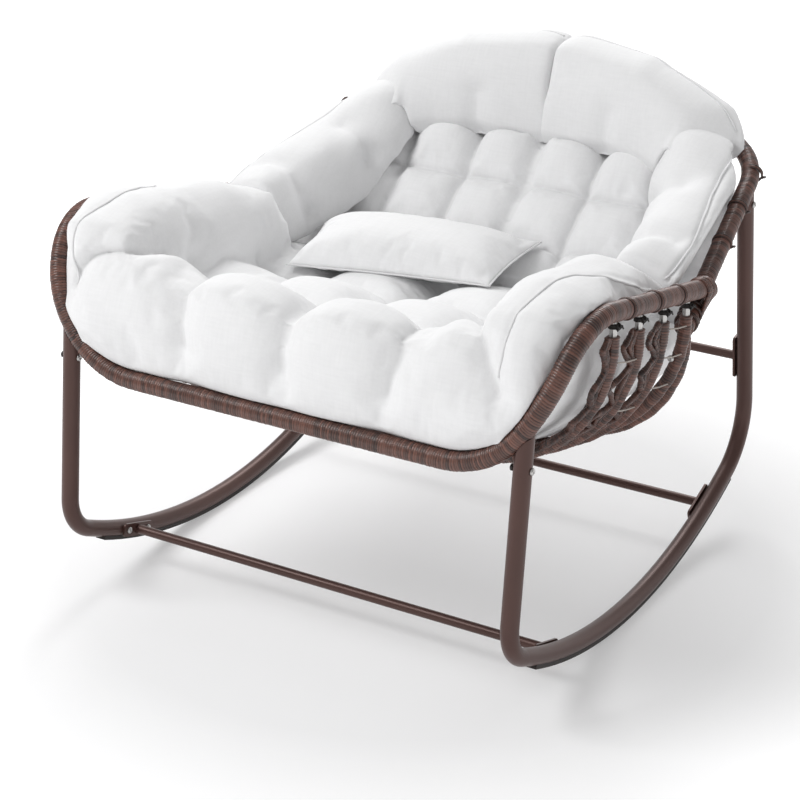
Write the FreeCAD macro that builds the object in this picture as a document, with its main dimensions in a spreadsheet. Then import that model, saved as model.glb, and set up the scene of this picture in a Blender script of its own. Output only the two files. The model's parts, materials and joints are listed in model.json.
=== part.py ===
import FreeCAD, Part, Sketcher
import math
import os
from FreeCAD import Placement, Rotation, Vector

# Rattan rocking chair: two bent tube side frames on rocker strips, three crossbars,
# a wicker wrapped basket bolted into the four posts, and a tufted cushion laid in it.
# Frame: +Z up, the front faces -Y, origin on the floor under the rockers' lowest points.

# Driving dimensions in millimetres and degrees.
SIZES = (
    ("frame_half_width", 430.0, "middle of the chair to the middle of a side frame"),
    ("tube_diameter", 30.0, "outside of the side frame tube"),
    ("tube_wall", 1.5, "wall of the side frame tube"),
    ("rocker_radius", 960.0, "centre line of the rocker"),
    ("front_post_reach", 437.0, "front post ahead of the rocker's lowest point, at its bolt"),
    ("front_post_lean", 6.6, "front post leaning back as it rises"),
    ("front_bend_radius", 75.0, "centre line of the bend from front post to rocker"),
    ("rear_post_reach", 401.0, "rear post behind the rocker's lowest point, at its bolt"),
    ("rear_post_lean", 8.9, "rear post leaning forward as it rises"),
    ("rear_bend_radius", 120.0, "centre line of the bend from rocker to rear post"),
    ("strip_thickness", 4.0, "rocker strip below the tube"),
    ("strip_width", 20.0, "rocker strip across the tube"),
    ("strip_front_setback", 51.1, "front end of the rocker strip behind the front post's bolt"),
    ("strip_rear_setback", 10.5, "rear end of the rocker strip ahead of the rear post's bolt"),
    ("crossbar_diameter", 17.0, "outside of a crossbar"),
    ("crossbar_wall", 1.5, "wall of a crossbar"),
    ("front_bar_setback", 129.2, "front crossbar behind the front post's bolt"),
    ("rear_bar_setback", 93.2, "rear lower crossbar ahead of the rear post's bolt"),
    ("upper_bar_height", 313.0, "upper crossbar above the floor"),
    ("plate_thickness", 4.0, "end plate of a crossbar"),
    ("plate_length", 84.0, "end plate along the tube"),
    ("plate_width", 24.0, "end plate across the tube"),
    ("plate_corner", 6.0, "rounded corner of an end plate"),
    ("plate_bolt_pitch", 56.0, "between the two bolts of an end plate"),
    ("plate_bolt_length", 16.0, "bolt of an end plate under its head"),
    ("bolt_diameter", 6.0, "shank of every bolt"),
    ("bolt_head_diameter", 12.0, "round head of every bolt"),
    ("bolt_head_height", 4.0, "height of a bolt head"),
    ("bolt_head_round", 2.5, "slope of a bolt head's button top"),
    ("nut_height", 6.0, "nut on a through bolt"),
    ("hole_clearance", 0.2, "between a shank and its hole, all round"),
    ("seat_gap", 0.3, "between pieces that rest on each other"),
    ("wrap_diameter", 33.0, "seat rail and back hoop over their wicker wrap"),
    ("seat_rail_height", 438.0, "centre of the front rail above the floor"),
    ("rail_front_overhang", 8.0, "front rail ahead of the front posts"),
    ("rail_corner_inset", 52.0, "front corner of the rail inside the side frame"),
    ("rail_corner_radius", 160.0, "bend at the front corner of the rail"),
    ("rail_shoulder_out", 31.0, "rail shoulder outside the side frame"),
    ("rail_shoulder_back", 9.0, "rail shoulder behind the front post"),
    ("rail_shoulder_rise", 121.0, "rail shoulder above the front rail"),
    ("rail_shoulder_radius", 200.0, "bend at the rail shoulder"),
    ("arm_corner_out", 61.0, "arm's front corner outside the side frame"),
    ("arm_corner_back", 81.0, "arm's front corner behind the front post"),
    ("arm_corner_rise", 240.0, "arm's front corner above the front rail"),
    ("arm_corner_radius", 115.0, "bend at the arm's front corner"),
    ("arm_end_out", 54.0, "rear end of the arm outside the side frame"),
    ("arm_end_reach", 110.0, "rear end of the arm behind the rocker's lowest point"),
    ("arm_fall", 104.0, "arm falling from its front corner to its rear end"),
    ("front_bolt_rise", 12.0, "front post bolt above the front rail"),
    ("hoop_rise", 215.6, "back hoop's centre over the rear post, above the front rail"),
    ("hoop_pitch", 0.383, "rise of the hoop's side per unit of depth"),
    ("hoop_splay", 0.126, "spread of the hoop's side per unit of depth"),
    ("hoop_front_run", 352.0, "hoop's front end ahead of the rear post"),
    ("hoop_corner_run", 103.0, "hoop's rear corner behind the rear post"),
    ("hoop_corner_radius", 150.0, "bend at the hoop's rear corner"),
    ("hoop_back_reach", 203.0, "hoop's middle behind the rear post"),
    ("hoop_back_rise", 104.0, "hoop's middle above the rear post"),
    ("hoop_crown_radius", 600.0, "bend at the hoop's middle"),
    ("rear_bolt_drop", 27.0, "rear post bolt below the hoop"),
    ("spigot_depth", 70.0, "basket spigot inside a post, below its bolt"),
    ("bow_diameter", 24.0, "wicker wrapped bow under the seat"),
    ("bow_corner_radius", 265.0, "bend at each side of a bow"),
    ("bow_front_reach", 265.0, "front bow ahead of the rocker's lowest point"),
    ("bow_pitch", 97.0, "between neighbouring bows"),
    ("bow_front_drop", 76.0, "front bow's bottom below the front rail"),
    ("bow_second_drop", 106.0, "second bow's bottom below the front rail"),
    ("bow_third_drop", 134.0, "third bow's bottom below the front rail"),
    ("bow_rear_drop", 150.0, "rear bows' bottom below the front rail"),
    ("rod_diameter", 12.0, "steel rod bare above the wrap of a bow"),
    ("rod_length", 24.0, "bare rod between a seat bow and the rail over it"),
    ("back_rod_length", 6.0, "bare rod between the back bow and the hoop over it"),
    ("lashing_wall", 4.0, "cord lashing round a bare rod"),
    ("section_bolt_rise", 38.0, "side bolts between the two rear bows, above the front rail"),
    ("section_gap", 7.0, "spacer between the two rear bows"),
    ("section_bolt_spread", 150.0, "bottom bolts between the two rear bows, from the middle"),
    ("rib_diameter", 18.0, "wicker wrapped rib of the back"),
    ("rib_spacing", 92.0, "between neighbouring back ribs"),
    ("rib_heel_reach", 235.0, "back rib's lower bend behind the rocker's lowest point"),
    ("rib_heel_radius", 200.0, "back rib's lower bend"),
    ("rib_neck_reach", 545.0, "back rib's upper bend behind the rocker's lowest point"),
    ("rib_neck_rise", 122.0, "back rib's upper bend above the front rail"),
    ("rib_neck_radius", 150.0, "back rib's upper bend"),
    ("cap_thickness", 3.0, "end cap on an arm"),
    ("seat_front_rise", 162.0, "seams of the seat's front tufts above the front rail"),
    ("seat_rear_rise", 17.0, "top of the seat at the crease with the back, above the front rail"),
    ("seat_front_overhang", 15.0, "front face of the seat ahead of the front posts"),
    ("seat_lip", 2.0, "front of the seat outside the side frames"),
    ("seat_front_bend", 118.0, "round of the seat's underside at its front"),
    ("seat_rear_bend", 200.0, "round of the cushion's underside at the crease"),
    ("back_bend", 185.0, "round of the back's underside"),
    ("crease_reach", 190.0, "crease between seat and back behind the rocker's lowest point"),
    ("tuft_crown", 26.0, "crown of a tuft over its seams"),
    ("tuft_seam_crown", 6.0, "crown left along a sewn seam"),
    ("back_top_reach", 500.0, "top edge of the tufted back behind the rocker's lowest point"),
    ("back_top_rise", 264.0, "top edge of the tufted back above the front rail"),
    ("bolster_width", 130.0, "arm bolster across and from crest to foot"),
    ("bolster_lean", 44.0, "crest of the arm bolster outside its foot"),
    ("arm_seam_reach", 36.0, "seam between arm bolster and side wing"),
    ("bolster_front_rise", 264.0, "crest of the arm bolster at its front, above the front rail"),
    ("bolster_rear_rise", 210.0, "crest of the arm bolster at its rear end, above the front rail"),
    ("bolster_inset", 6.0, "outer side of the arm bolster inside the arm's centre line"),
    ("bolster_front_lap", 74.0, "front of the arm bolster ahead of the arm's front corner"),
    ("bolster_bulge", 16.0, "sides of a bolster bulging between their corners"),
    ("wing_width", 100.0, "side wing across and from crest to foot"),
    ("wing_rear_rise", 290.0, "crest of the side wing at its rear end, above the front rail"),
    ("wing_inset", 8.0, "outer side of the side wing inside the hoop's centre line"),
    ("wing_end_reach", 462.0, "rear end of the side wing behind the rocker's lowest point"),
    ("headrest_rise", 412.0, "crest of the headrest at the middle, above the front rail"),
    ("headrest_end_rise", 274.0, "crest of the headrest at its outer end, above the front rail"),
    ("headrest_lap", 50.0, "foot of the headrest below the top of the tufted back"),
    ("headrest_half_width", 376.0, "outer end of the headrest from the middle"),
    ("headrest_depth", 104.0, "headrest from front to back"),
    ("headrest_foot", 58.0, "foot of the headrest in front of the hoop's centre"),
    ("pillow_length", 376.0, "lumbar pillow along its seam"),
    ("pillow_depth", 220.0, "lumbar pillow across"),
    ("pillow_thickness", 104.0, "lumbar pillow at its middle"),
    ("pillow_edge", 8.0, "lumbar pillow along its sewn ends"),
    ("pillow_offset", 78.0, "middle of the lumbar pillow left of the chair's middle"),
    ("pillow_reach", 112.0, "middle of the lumbar pillow behind the rocker's lowest point"),
    ("pillow_turn", 13.7, "lumbar pillow turned from straight across the chair"),
    ("pillow_tilt", 6.0, "lumbar pillow tilted with its rear edge up"),
)

LEFT, RIGHT = -1, 1
SIDES = (("left", LEFT), ("right", RIGHT))
ALONG_Y = Rotation(Vector(0, 0, 1), Vector(0, 1, 0))
SEAT_COLUMNS = 4
RIB_COUNT = 5

doc = FreeCAD.newDocument("rattan_rocking_chair")
sheet = doc.addObject("Spreadsheet::Sheet", "Sizes")
for row, (alias, value, meaning) in enumerate(SIZES, start=1):
    sheet.set(f"A{row}", meaning)
    sheet.set(f"B{row}", str(value))
    sheet.setAlias(f"B{row}", alias)
doc.recompute()


def size(alias):
    """The value of a driving dimension."""
    return float(sheet.get(alias))


# Shared construction helpers

def wire_object(label, edges):
    """A document object that holds a wire."""
    holder = doc.addObject("Part::Feature", label)
    holder.Shape = Part.Wire(edges)
    return holder


def bend_trims(points, radii):
    """Length that each bend takes from the runs beside it, shortened where the runs are too short."""
    runs = [(after - before).Length for before, after in zip(points, points[1:])]
    half_turns = [(after - corner).getAngle(corner - before) / 2
                  for before, corner, after in zip(points, points[1:], points[2:])]
    trims = [radius * math.tan(half_turn) for radius, half_turn in zip(radii, half_turns)]
    for index, run in enumerate(runs):
        beside = [bend for bend in (index - 1, index) if 0 <= bend < len(trims)]
        share = min(1, 0.98 * run / sum(trims[bend] for bend in beside))
        for bend in beside:
            trims[bend] *= share
    return trims, half_turns


def bent_edges(points, radii):
    """Straight runs through the points, joined by tangent arcs."""
    edges = []
    start = points[0]
    trims, half_turns = bend_trims(points, radii)
    for before, corner, after, trim, half_turn in zip(points, points[1:], points[2:], trims, half_turns):
        to_before = (before - corner).normalize()
        to_after = (after - corner).normalize()
        bend = trim / math.tan(half_turn)
        inward = (to_before + to_after).normalize()
        middle = corner + inward * (bend / math.cos(half_turn) - bend)
        edges.append(Part.LineSegment(start, corner + to_before * trim).toShape())
        start = corner + to_after * trim
        edges.append(Part.Arc(corner + to_before * trim, middle, start).toShape())
    edges.append(Part.LineSegment(start, points[-1]).toShape())
    return edges


def round_bar(label, path, radius):
    """A round bar swept along a path, its radius an expression on the sheet."""
    first = path.Shape.Edges[0]
    profile = doc.addObject("Part::Circle", label + "_section")
    profile.setExpression("Radius", radius)
    tangent = first.tangentAt(first.FirstParameter)
    profile.Placement = Placement(first.valueAt(first.FirstParameter), Rotation(Vector(0, 0, 1), tangent))
    bar = doc.addObject("Part::Sweep", label)
    bar.Sections = [profile]
    bar.Spine = (path, [f"Edge{index + 1}" for index in range(len(path.Shape.Edges))])
    bar.Solid = True
    return bar


def rod(label, start, direction, radius, length):
    """A cylinder from a point along a direction, its radius and length expressions."""
    cylinder = doc.addObject("Part::Cylinder", label)
    cylinder.setExpression("Radius", radius)
    cylinder.setExpression("Height", length)
    cylinder.Placement = Placement(start, Rotation(Vector(0, 0, 1), direction))
    return cylinder


def gather(label, objects):
    """One object that holds several separate ones."""
    holder = doc.addObject("Part::Compound", label)
    holder.Links = objects
    return holder


def cut(label, base, *tools):
    """The base with every tool taken out of it."""
    piece = base
    for index, tool in enumerate(tools):
        last = index == len(tools) - 1
        step = doc.addObject("Part::Cut", label if last else f"{label}_step_{index}")
        step.Base = piece
        step.Tool = tool
        piece = step
    return piece


def copies(label, prototype, placements):
    """A group of equal solids, each a placed copy of the prototype."""
    doc.recompute()
    holder = doc.addObject("Part::Feature", label)
    solids = []
    for placement in placements:
        solid = prototype.Shape.copy()
        solid.Placement = placement.multiply(solid.Placement)
        solids.append(solid)
    holder.Shape = Part.makeCompound(solids)
    return holder


def point_on(path, coordinate, value, least_reach):
    """The point of a path where one coordinate has a value, on its right half behind a limit."""
    points = path.Shape.discretize(2000)
    points = [point for point in points if point.y >= least_reach and point.x >= 0]
    return min(points, key=lambda point: abs(getattr(point, coordinate) - value))


def mirrored(point):
    """The same point on the left of the chair."""
    return Vector(-point.x, point.y, point.z)


# Centre lines of the frame and the basket

half_width = size("frame_half_width")
tube_radius = size("tube_diameter") / 2
rocker_radius = size("rocker_radius")
rocker_height = rocker_radius + tube_radius + size("strip_thickness")
front_lean = math.radians(size("front_post_lean"))
rear_lean = math.radians(size("rear_post_lean"))
front_up = Vector(0, math.sin(front_lean), math.cos(front_lean))
rear_up = Vector(0, -math.sin(rear_lean), math.cos(rear_lean))
rail_height = size("seat_rail_height")
front_bolt = Vector(half_width, -size("front_post_reach"), rail_height + size("front_bolt_rise"))
rear_bolt = Vector(half_width, size("rear_post_reach"),
                   rail_height + size("hoop_rise") - size("rear_bolt_drop"))
hoop_over_post = rear_bolt + rear_up * (size("rear_bolt_drop") / math.cos(rear_lean))


def above_rail(alias):
    """Height above the floor of a size that counts up from the front rail."""
    return rail_height + size(alias)


def rocker_angle(reach):
    """Degrees from the rocker's lowest point to a depth along it."""
    return math.degrees(math.asin(reach / rocker_radius))


rear_bow_floor = rail_height - size("bow_rear_drop")
strip_front_angle = rocker_angle(size("front_post_reach") - size("strip_front_setback"))
strip_rear_angle = rocker_angle(size("rear_post_reach") - size("strip_rear_setback"))
front_bar_angle = rocker_angle(size("front_post_reach") - size("front_bar_setback"))
rear_bar_angle = rocker_angle(size("rear_post_reach") - size("rear_bar_setback"))


def rail_points():
    """Corners of the seat rail on the right, from the middle of the front to the arm's end."""
    post = size("front_post_reach")
    front = -post - size("rail_front_overhang")
    arm_top = rail_height + size("arm_corner_rise")
    return (
        Vector(half_width - size("rail_corner_inset"), front, rail_height),
        Vector(half_width + size("rail_shoulder_out"), size("rail_shoulder_back") - post,
               rail_height + size("rail_shoulder_rise")),
        Vector(half_width + size("arm_corner_out"), size("arm_corner_back") - post, arm_top),
        Vector(half_width + size("arm_end_out"), size("arm_end_reach"), arm_top - size("arm_fall")),
    )


def hoop_points():
    """Corners of the back hoop on the right, from its front end to its middle."""
    def along_side(run):
        return hoop_over_post + Vector(-size("hoop_splay"), 1, size("hoop_pitch")) * run
    middle = Vector(0, hoop_over_post.y + size("hoop_back_reach"),
                    hoop_over_post.z + size("hoop_back_rise"))
    return along_side(-size("hoop_front_run")), along_side(size("hoop_corner_run")), middle


def build_rail_path():
    right = list(rail_points())
    corners = [mirrored(point) for point in reversed(right)] + right
    bends = [size("arm_corner_radius"), size("rail_shoulder_radius"), size("rail_corner_radius")]
    return wire_object("seat_rail_path", bent_edges(corners, bends + bends[::-1]))


def build_hoop_path():
    end, corner, middle = hoop_points()
    corners = [mirrored(end), mirrored(corner), middle, corner, end]
    bends = [size("hoop_corner_radius"), size("hoop_crown_radius"), size("hoop_corner_radius")]
    return wire_object("back_hoop_path", bent_edges(corners, bends))


rail_path = build_rail_path()
hoop_path = build_hoop_path()


# Seat rail, back hoop and their end caps

def build_rail_and_hoop():
    rail = round_bar("seat_rail", rail_path, "Sizes.wrap_diameter / 2")
    hoop = round_bar("back_hoop", hoop_path, "Sizes.wrap_diameter / 2")
    rail_room = round_bar("seat_rail_room", rail_path, "Sizes.wrap_diameter / 2 + Sizes.seat_gap")
    hoop_room = round_bar("back_hoop_room", hoop_path, "Sizes.wrap_diameter / 2 + Sizes.seat_gap")
    return rail, hoop, rail_room, hoop_room


rail, hoop, rail_room, hoop_room = build_rail_and_hoop()


def build_arm_caps():
    """Round plugs that close the rear ends of the arms."""
    corner, end = rail_points()[2:]
    outward = end - corner
    right = rod("arm_cap_right", end, outward, "Sizes.wrap_diameter / 2", "Sizes.cap_thickness")
    left = rod("arm_cap_left", mirrored(end), mirrored(outward), "Sizes.wrap_diameter / 2",
               "Sizes.cap_thickness")
    return gather("arm_caps", [left, right])


arm_caps = build_arm_caps()


# Side frames and rocker strips

def bend_into_rocker(post_point, post_up, bend_radius, inward):
    """Centre of the bend between a post and the rocker, and where it leaves each."""
    rocker_centre = Vector(post_point.x, 0, rocker_height)
    offset = post_point + inward * bend_radius
    reach = rocker_radius - bend_radius
    from_centre = offset - rocker_centre
    along = from_centre.dot(post_up)
    drop = -along - math.sqrt(along ** 2 - from_centre.dot(from_centre) + reach ** 2)
    centre = offset + post_up * drop
    outward = (centre - rocker_centre).normalize()
    return centre, centre - inward * bend_radius, rocker_centre + outward * rocker_radius


def bend_edge(centre, start, end, radius):
    """The short arc about a centre between two points."""
    middle = centre + ((start - centre) + (end - centre)).normalize() * radius
    return Part.Arc(start, middle, end).toShape()


def side_frame_edges(side):
    """Front post, bend, rocker, bend and rear post of one side frame."""
    across = Vector(side * half_width, 0, 0) - Vector(half_width, 0, 0)
    front_point, rear_point = front_bolt + across, rear_bolt + across
    front_inward = Vector(0, front_up.z, -front_up.y)
    rear_inward = Vector(0, -rear_up.z, rear_up.y)
    front_bend, rear_bend = size("front_bend_radius"), size("rear_bend_radius")
    front_centre, front_foot, rocker_front = bend_into_rocker(front_point, front_up, front_bend, front_inward)
    rear_centre, rear_foot, rocker_rear = bend_into_rocker(rear_point, rear_up, rear_bend, rear_inward)
    rail_cross = point_on(rail_path, "x", half_width, -size("front_post_reach") * 2)
    front_top = front_point + front_up * ((rail_cross.z - front_point.z) / front_up.z)
    rear_top = hoop_over_post + across
    rocker_bottom = Vector(side * half_width, 0, rocker_height - rocker_radius)
    return [
        Part.LineSegment(front_top, front_foot).toShape(),
        bend_edge(front_centre, front_foot, rocker_front, front_bend),
        Part.Arc(rocker_front, rocker_bottom, rocker_rear).toShape(),
        bend_edge(rear_centre, rocker_rear, rear_foot, rear_bend),
        Part.LineSegment(rear_foot, rear_top).toShape(),
    ]


def plate_places(side):
    """Centre and long direction of the three crossbar end plates on one side frame."""
    inner_face = side * (half_width - tube_radius - size("seat_gap"))
    places = []
    for angle in (-front_bar_angle, rear_bar_angle):
        turn = math.radians(angle)
        drop = rocker_radius * math.cos(turn)
        centre = Vector(inner_face, rocker_radius * math.sin(turn), rocker_height - drop)
        places.append((centre, Vector(0, math.cos(turn), math.sin(turn))))
    climb = (size("upper_bar_height") - rear_bolt.z) / rear_up.z
    on_post = rear_bolt + rear_up * climb
    places.append((Vector(inner_face, on_post.y, on_post.z), rear_up))
    return places


def plate_bolt_points(side):
    """Where the bolts of the end plates go into one side frame."""
    half_pitch = size("plate_bolt_pitch") / 2
    return [centre + along * (way * half_pitch) for centre, along in plate_places(side) for way in (-1, 1)]


def build_side_frame(name, side):
    """One bent tube, coped under the rail and the hoop and drilled for its bolts."""
    path = wire_object(f"side_frame_path_{name}", side_frame_edges(side))
    outside = round_bar(f"side_frame_outside_{name}", path, "Sizes.tube_diameter / 2")
    inside = round_bar(f"side_frame_inside_{name}", path, "Sizes.tube_diameter / 2 - Sizes.tube_wall")
    holes = []
    for index, point in enumerate((front_bolt, rear_bolt)):
        start = Vector(side * half_width - tube_radius * 2, point.y, point.z)
        holes.append(rod(f"post_hole_{name}_{index}", start, Vector(1, 0, 0),
                         "Sizes.bolt_diameter / 2 + Sizes.hole_clearance", "Sizes.tube_diameter * 2"))
    for index, point in enumerate(plate_bolt_points(side)):
        holes.append(rod(f"plate_hole_{name}_{index}", point, Vector(side, 0, 0),
                         "Sizes.bolt_diameter / 2 + Sizes.hole_clearance", "Sizes.tube_diameter / 2"))
    hollow = cut(f"side_frame_tube_{name}", outside, inside)
    return cut(f"side_frame_{name}", hollow, gather(f"frame_holes_{name}", holes), rail_room, hoop_room)


side_frames = {name: build_side_frame(name, side) for name, side in SIDES}


def build_rocker_strip(name, side):
    """A strip that hugs the underside of the rocker and runs on the floor."""
    centre_x = side * half_width
    half_strip = size("strip_width") / 2
    hug = tube_radius + size("seat_gap")
    bottom = rocker_height - rocker_radius - tube_radius - size("strip_thickness")
    shoulder = rocker_height - rocker_radius - math.sqrt(hug ** 2 - half_strip ** 2)
    crown = Vector(centre_x, 0, rocker_height - rocker_radius - hug)
    corners = [Vector(centre_x - half_strip, 0, shoulder), Vector(centre_x - half_strip, 0, bottom),
               Vector(centre_x + half_strip, 0, bottom), Vector(centre_x + half_strip, 0, shoulder)]
    edges = [Part.LineSegment(start, end).toShape() for start, end in zip(corners, corners[1:])]
    edges.append(Part.Arc(corners[-1], crown, corners[0]).toShape())
    section = doc.addObject("Part::Feature", f"strip_section_{name}")
    section.Shape = Part.Face(Part.Wire(edges))
    turn = Rotation(Vector(1, 0, 0), -strip_front_angle)
    section.Placement = Placement(Vector(0, 0, 0), turn, Vector(0, 0, rocker_height))
    strip = doc.addObject("Part::Revolution", f"rocker_strip_{name}")
    strip.Source = section
    strip.Base = Vector(0, 0, rocker_height)
    strip.Axis = Vector(1, 0, 0)
    strip.Angle = strip_front_angle + strip_rear_angle
    strip.Solid = True
    return strip


rocker_strips = {name: build_rocker_strip(name, side) for name, side in SIDES}


# Crossbars, their end plates and the fasteners

def build_plate():
    """End plate with rounded corners and two bolt holes, long along X."""
    body = doc.addObject("PartDesign::Body", "end_plate")
    plane = next(item for item in body.Origin.OriginFeatures if item.Role == "XY_Plane")
    sketch = body.newObject("Sketcher::SketchObject", "end_plate_outline")
    sketch.AttachmentSupport = [(plane, "")]
    sketch.MapMode = "FlatFace"
    half_length, half_wide = size("plate_length") / 2, size("plate_width") / 2
    corners = [Vector(-half_length, -half_wide, 0), Vector(half_length, -half_wide, 0),
               Vector(half_length, half_wide, 0), Vector(-half_length, half_wide, 0)]
    for index in range(4):
        sketch.addGeometry(Part.LineSegment(corners[index], corners[(index + 1) % 4]), False)
    for index in range(4):
        sketch.addConstraint(Sketcher.Constraint("Coincident", index, 2, (index + 1) % 4, 1))
    for horizontal, vertical in ((0, 1), (2, 3)):
        sketch.addConstraint(Sketcher.Constraint("Horizontal", horizontal))
        sketch.addConstraint(Sketcher.Constraint("Vertical", vertical))
    sketch.addConstraint(Sketcher.Constraint("Symmetric", 0, 1, 1, 2, -1, 1))
    length = sketch.addConstraint(Sketcher.Constraint("DistanceX", 0, 1, 0, 2, 2 * half_length))
    width = sketch.addConstraint(Sketcher.Constraint("DistanceY", 1, 1, 1, 2, 2 * half_wide))
    sketch.setExpression(f"Constraints[{length}]", "Sizes.plate_length")
    sketch.setExpression(f"Constraints[{width}]", "Sizes.plate_width")
    hole_radius = size("bolt_diameter") / 2 + size("hole_clearance")
    for way in (-1, 1):
        centre = Vector(way * size("plate_bolt_pitch") / 2, 0, 0)
        hole = sketch.addGeometry(Part.Circle(centre, Vector(0, 0, 1), hole_radius), False)
        radius = sketch.addConstraint(Sketcher.Constraint("Radius", hole, hole_radius))
        sketch.setExpression(f"Constraints[{radius}]", "Sizes.bolt_diameter / 2 + Sizes.hole_clearance")
        sketch.addConstraint(Sketcher.Constraint("PointOnObject", hole, 3, -1))
        place = sketch.addConstraint(Sketcher.Constraint("DistanceX", -1, 1, hole, 3, centre.x))
        sketch.setExpression(f"Constraints[{place}]", f"{way} * Sizes.plate_bolt_pitch / 2")
    pad = body.newObject("PartDesign::Pad", "end_plate_pad")
    pad.Profile = sketch
    pad.setExpression("Length", "Sizes.plate_thickness")
    doc.recompute()
    upright = [f"Edge{index + 1}" for index, edge in enumerate(pad.Shape.Edges)
               if edge.Curve.TypeId == "Part::GeomLine" and abs(edge.tangentAt(0).z) > 0.99]
    fillet = body.newObject("PartDesign::Fillet", "end_plate_round")
    fillet.Base = (pad, upright)
    fillet.setExpression("Radius", "Sizes.plate_corner")
    body.Tip = fillet
    doc.recompute()
    return body


def build_bolt(label, shank_length):
    """A button headed bolt along Z, its head below the origin and its shank above."""
    upward = Vector(0, 0, 1)
    shank = rod(label + "_shank", Vector(0, 0, 0), upward, "Sizes.bolt_diameter / 2", shank_length)
    head = doc.addObject("Part::Cone", label + "_head")
    head.setExpression("Radius1", "Sizes.bolt_head_diameter / 2")
    head.setExpression("Radius2", "Sizes.bolt_head_diameter / 2 - Sizes.bolt_head_round")
    head.setExpression("Height", "Sizes.bolt_head_height")
    head.Placement = Placement(Vector(0, 0, 0), Rotation(upward, -upward))
    bolt = doc.addObject("Part::Fuse", label)
    bolt.Base = head
    bolt.Tool = shank
    return bolt


def build_nut(label):
    """A round nut along Z, standing on the origin."""
    outside = rod(label + "_outside", Vector(0, 0, 0), Vector(0, 0, 1), "Sizes.bolt_head_diameter / 2",
                  "Sizes.nut_height")
    bore = rod(label + "_bore", Vector(0, 0, 0), Vector(0, 0, 1),
               "Sizes.bolt_diameter / 2 + Sizes.hole_clearance / 2", "Sizes.nut_height")
    return cut(label, outside, bore)


end_plate = build_plate()
plate_bolt = build_bolt("plate_bolt", "Sizes.plate_bolt_length")
post_bolt = build_bolt("post_bolt", "Sizes.tube_diameter + Sizes.nut_height")
section_bolt = build_bolt("section_bolt", "2 * Sizes.bow_diameter + Sizes.section_gap + Sizes.nut_height")
nut = build_nut("nut")


def build_crossbars():
    """Three tubes between the side frames, welded to their end plates."""
    bars, plates = {}, {}
    for index, name in enumerate(("front", "rear_lower", "rear_upper")):
        left, right = plate_places(LEFT)[index][0], plate_places(RIGHT)[index][0]
        start = Vector(left.x + size("plate_thickness"), left.y, left.z)
        length = ("2 * (Sizes.frame_half_width - Sizes.tube_diameter / 2"
                  " - Sizes.seat_gap - Sizes.plate_thickness)")
        outside = rod(f"crossbar_outside_{name}", start, Vector(1, 0, 0),
                      "Sizes.crossbar_diameter / 2", length)
        inside = rod(f"crossbar_inside_{name}", start, Vector(1, 0, 0),
                     "Sizes.crossbar_diameter / 2 - Sizes.crossbar_wall", length)
        bars[name] = cut(f"crossbar_{name}", outside, inside)
        placements = []
        for side in (LEFT, RIGHT):
            centre, along = plate_places(side)[index]
            facing = Vector(-side, 0, 0)
            turn = Rotation(along, facing.cross(along), facing, "ZXY")
            placements.append(Placement(centre, turn))
        plates[name] = copies(f"crossbar_plates_{name}", end_plate, placements)
    return bars, plates


crossbars, crossbar_plates = build_crossbars()


def build_frame_bolts():
    """Bolts of the end plates, and through bolts of the posts with their nuts."""
    heads = []
    for side in (LEFT, RIGHT):
        inward = Vector(-side, 0, 0) * size("plate_thickness")
        turn = Rotation(Vector(0, 0, 1), Vector(side, 0, 0))
        heads += [Placement(point + inward, turn) for point in plate_bolt_points(side)]
    through, nuts = [], []
    for side in (LEFT, RIGHT):
        for point in (front_bolt, rear_bolt):
            head_side = Vector(side * half_width + tube_radius, point.y, point.z)
            nut_side = Vector(side * half_width - tube_radius, point.y, point.z)
            turn = Rotation(Vector(0, 0, 1), Vector(-1, 0, 0))
            through.append(Placement(head_side, turn))
            nuts.append(Placement(nut_side, turn))
    return (copies("crossbar_bolts", plate_bolt, heads), copies("post_bolts", post_bolt, through),
            copies("post_nuts", nut, nuts))


crossbar_bolts, post_bolts, post_nuts = build_frame_bolts()


def build_spigots(label, point, up, bar):
    """Stubs on the basket that stand in the posts and take the through bolts."""
    stubs = []
    for name, side in SIDES:
        bolt = Vector(side * half_width, point.y, point.z)
        radius = "Sizes.tube_diameter / 2 - Sizes.tube_wall - Sizes.seat_gap"
        start = bolt - up * size("spigot_depth")
        stub = rod(f"{label}_{name}_stub", start, up, radius, "Sizes.spigot_depth * 2")
        hole = rod(f"{label}_{name}_hole", bolt - Vector(tube_radius, 0, 0), Vector(1, 0, 0),
                   "Sizes.bolt_diameter / 2 + Sizes.hole_clearance", "Sizes.tube_diameter")
        drilled = cut(f"{label}_{name}_drilled", stub, hole, bar)
        doc.recompute()
        lowest = min(drilled.Shape.Solids, key=lambda solid: solid.CenterOfMass.z)
        spigot = doc.addObject("Part::Feature", f"{label}_{name}")
        spigot.Shape = lowest
        stubs.append(spigot)
    return gather(label, stubs)


front_spigots = build_spigots("front_spigots", front_bolt, front_up, rail)
rear_spigots = build_spigots("rear_spigots", rear_bolt, rear_up, hoop)


# Wrapped bows under the seat

def bow_edges(reach, half_span, top, floor):
    """A U from one side of the basket to the other, in a plane across the chair."""
    corners = [Vector(-half_span, reach, top), Vector(-half_span, reach, floor),
               Vector(half_span, reach, floor), Vector(half_span, reach, top)]
    return bent_edges(corners, [size("bow_corner_radius")] * 2)


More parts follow.
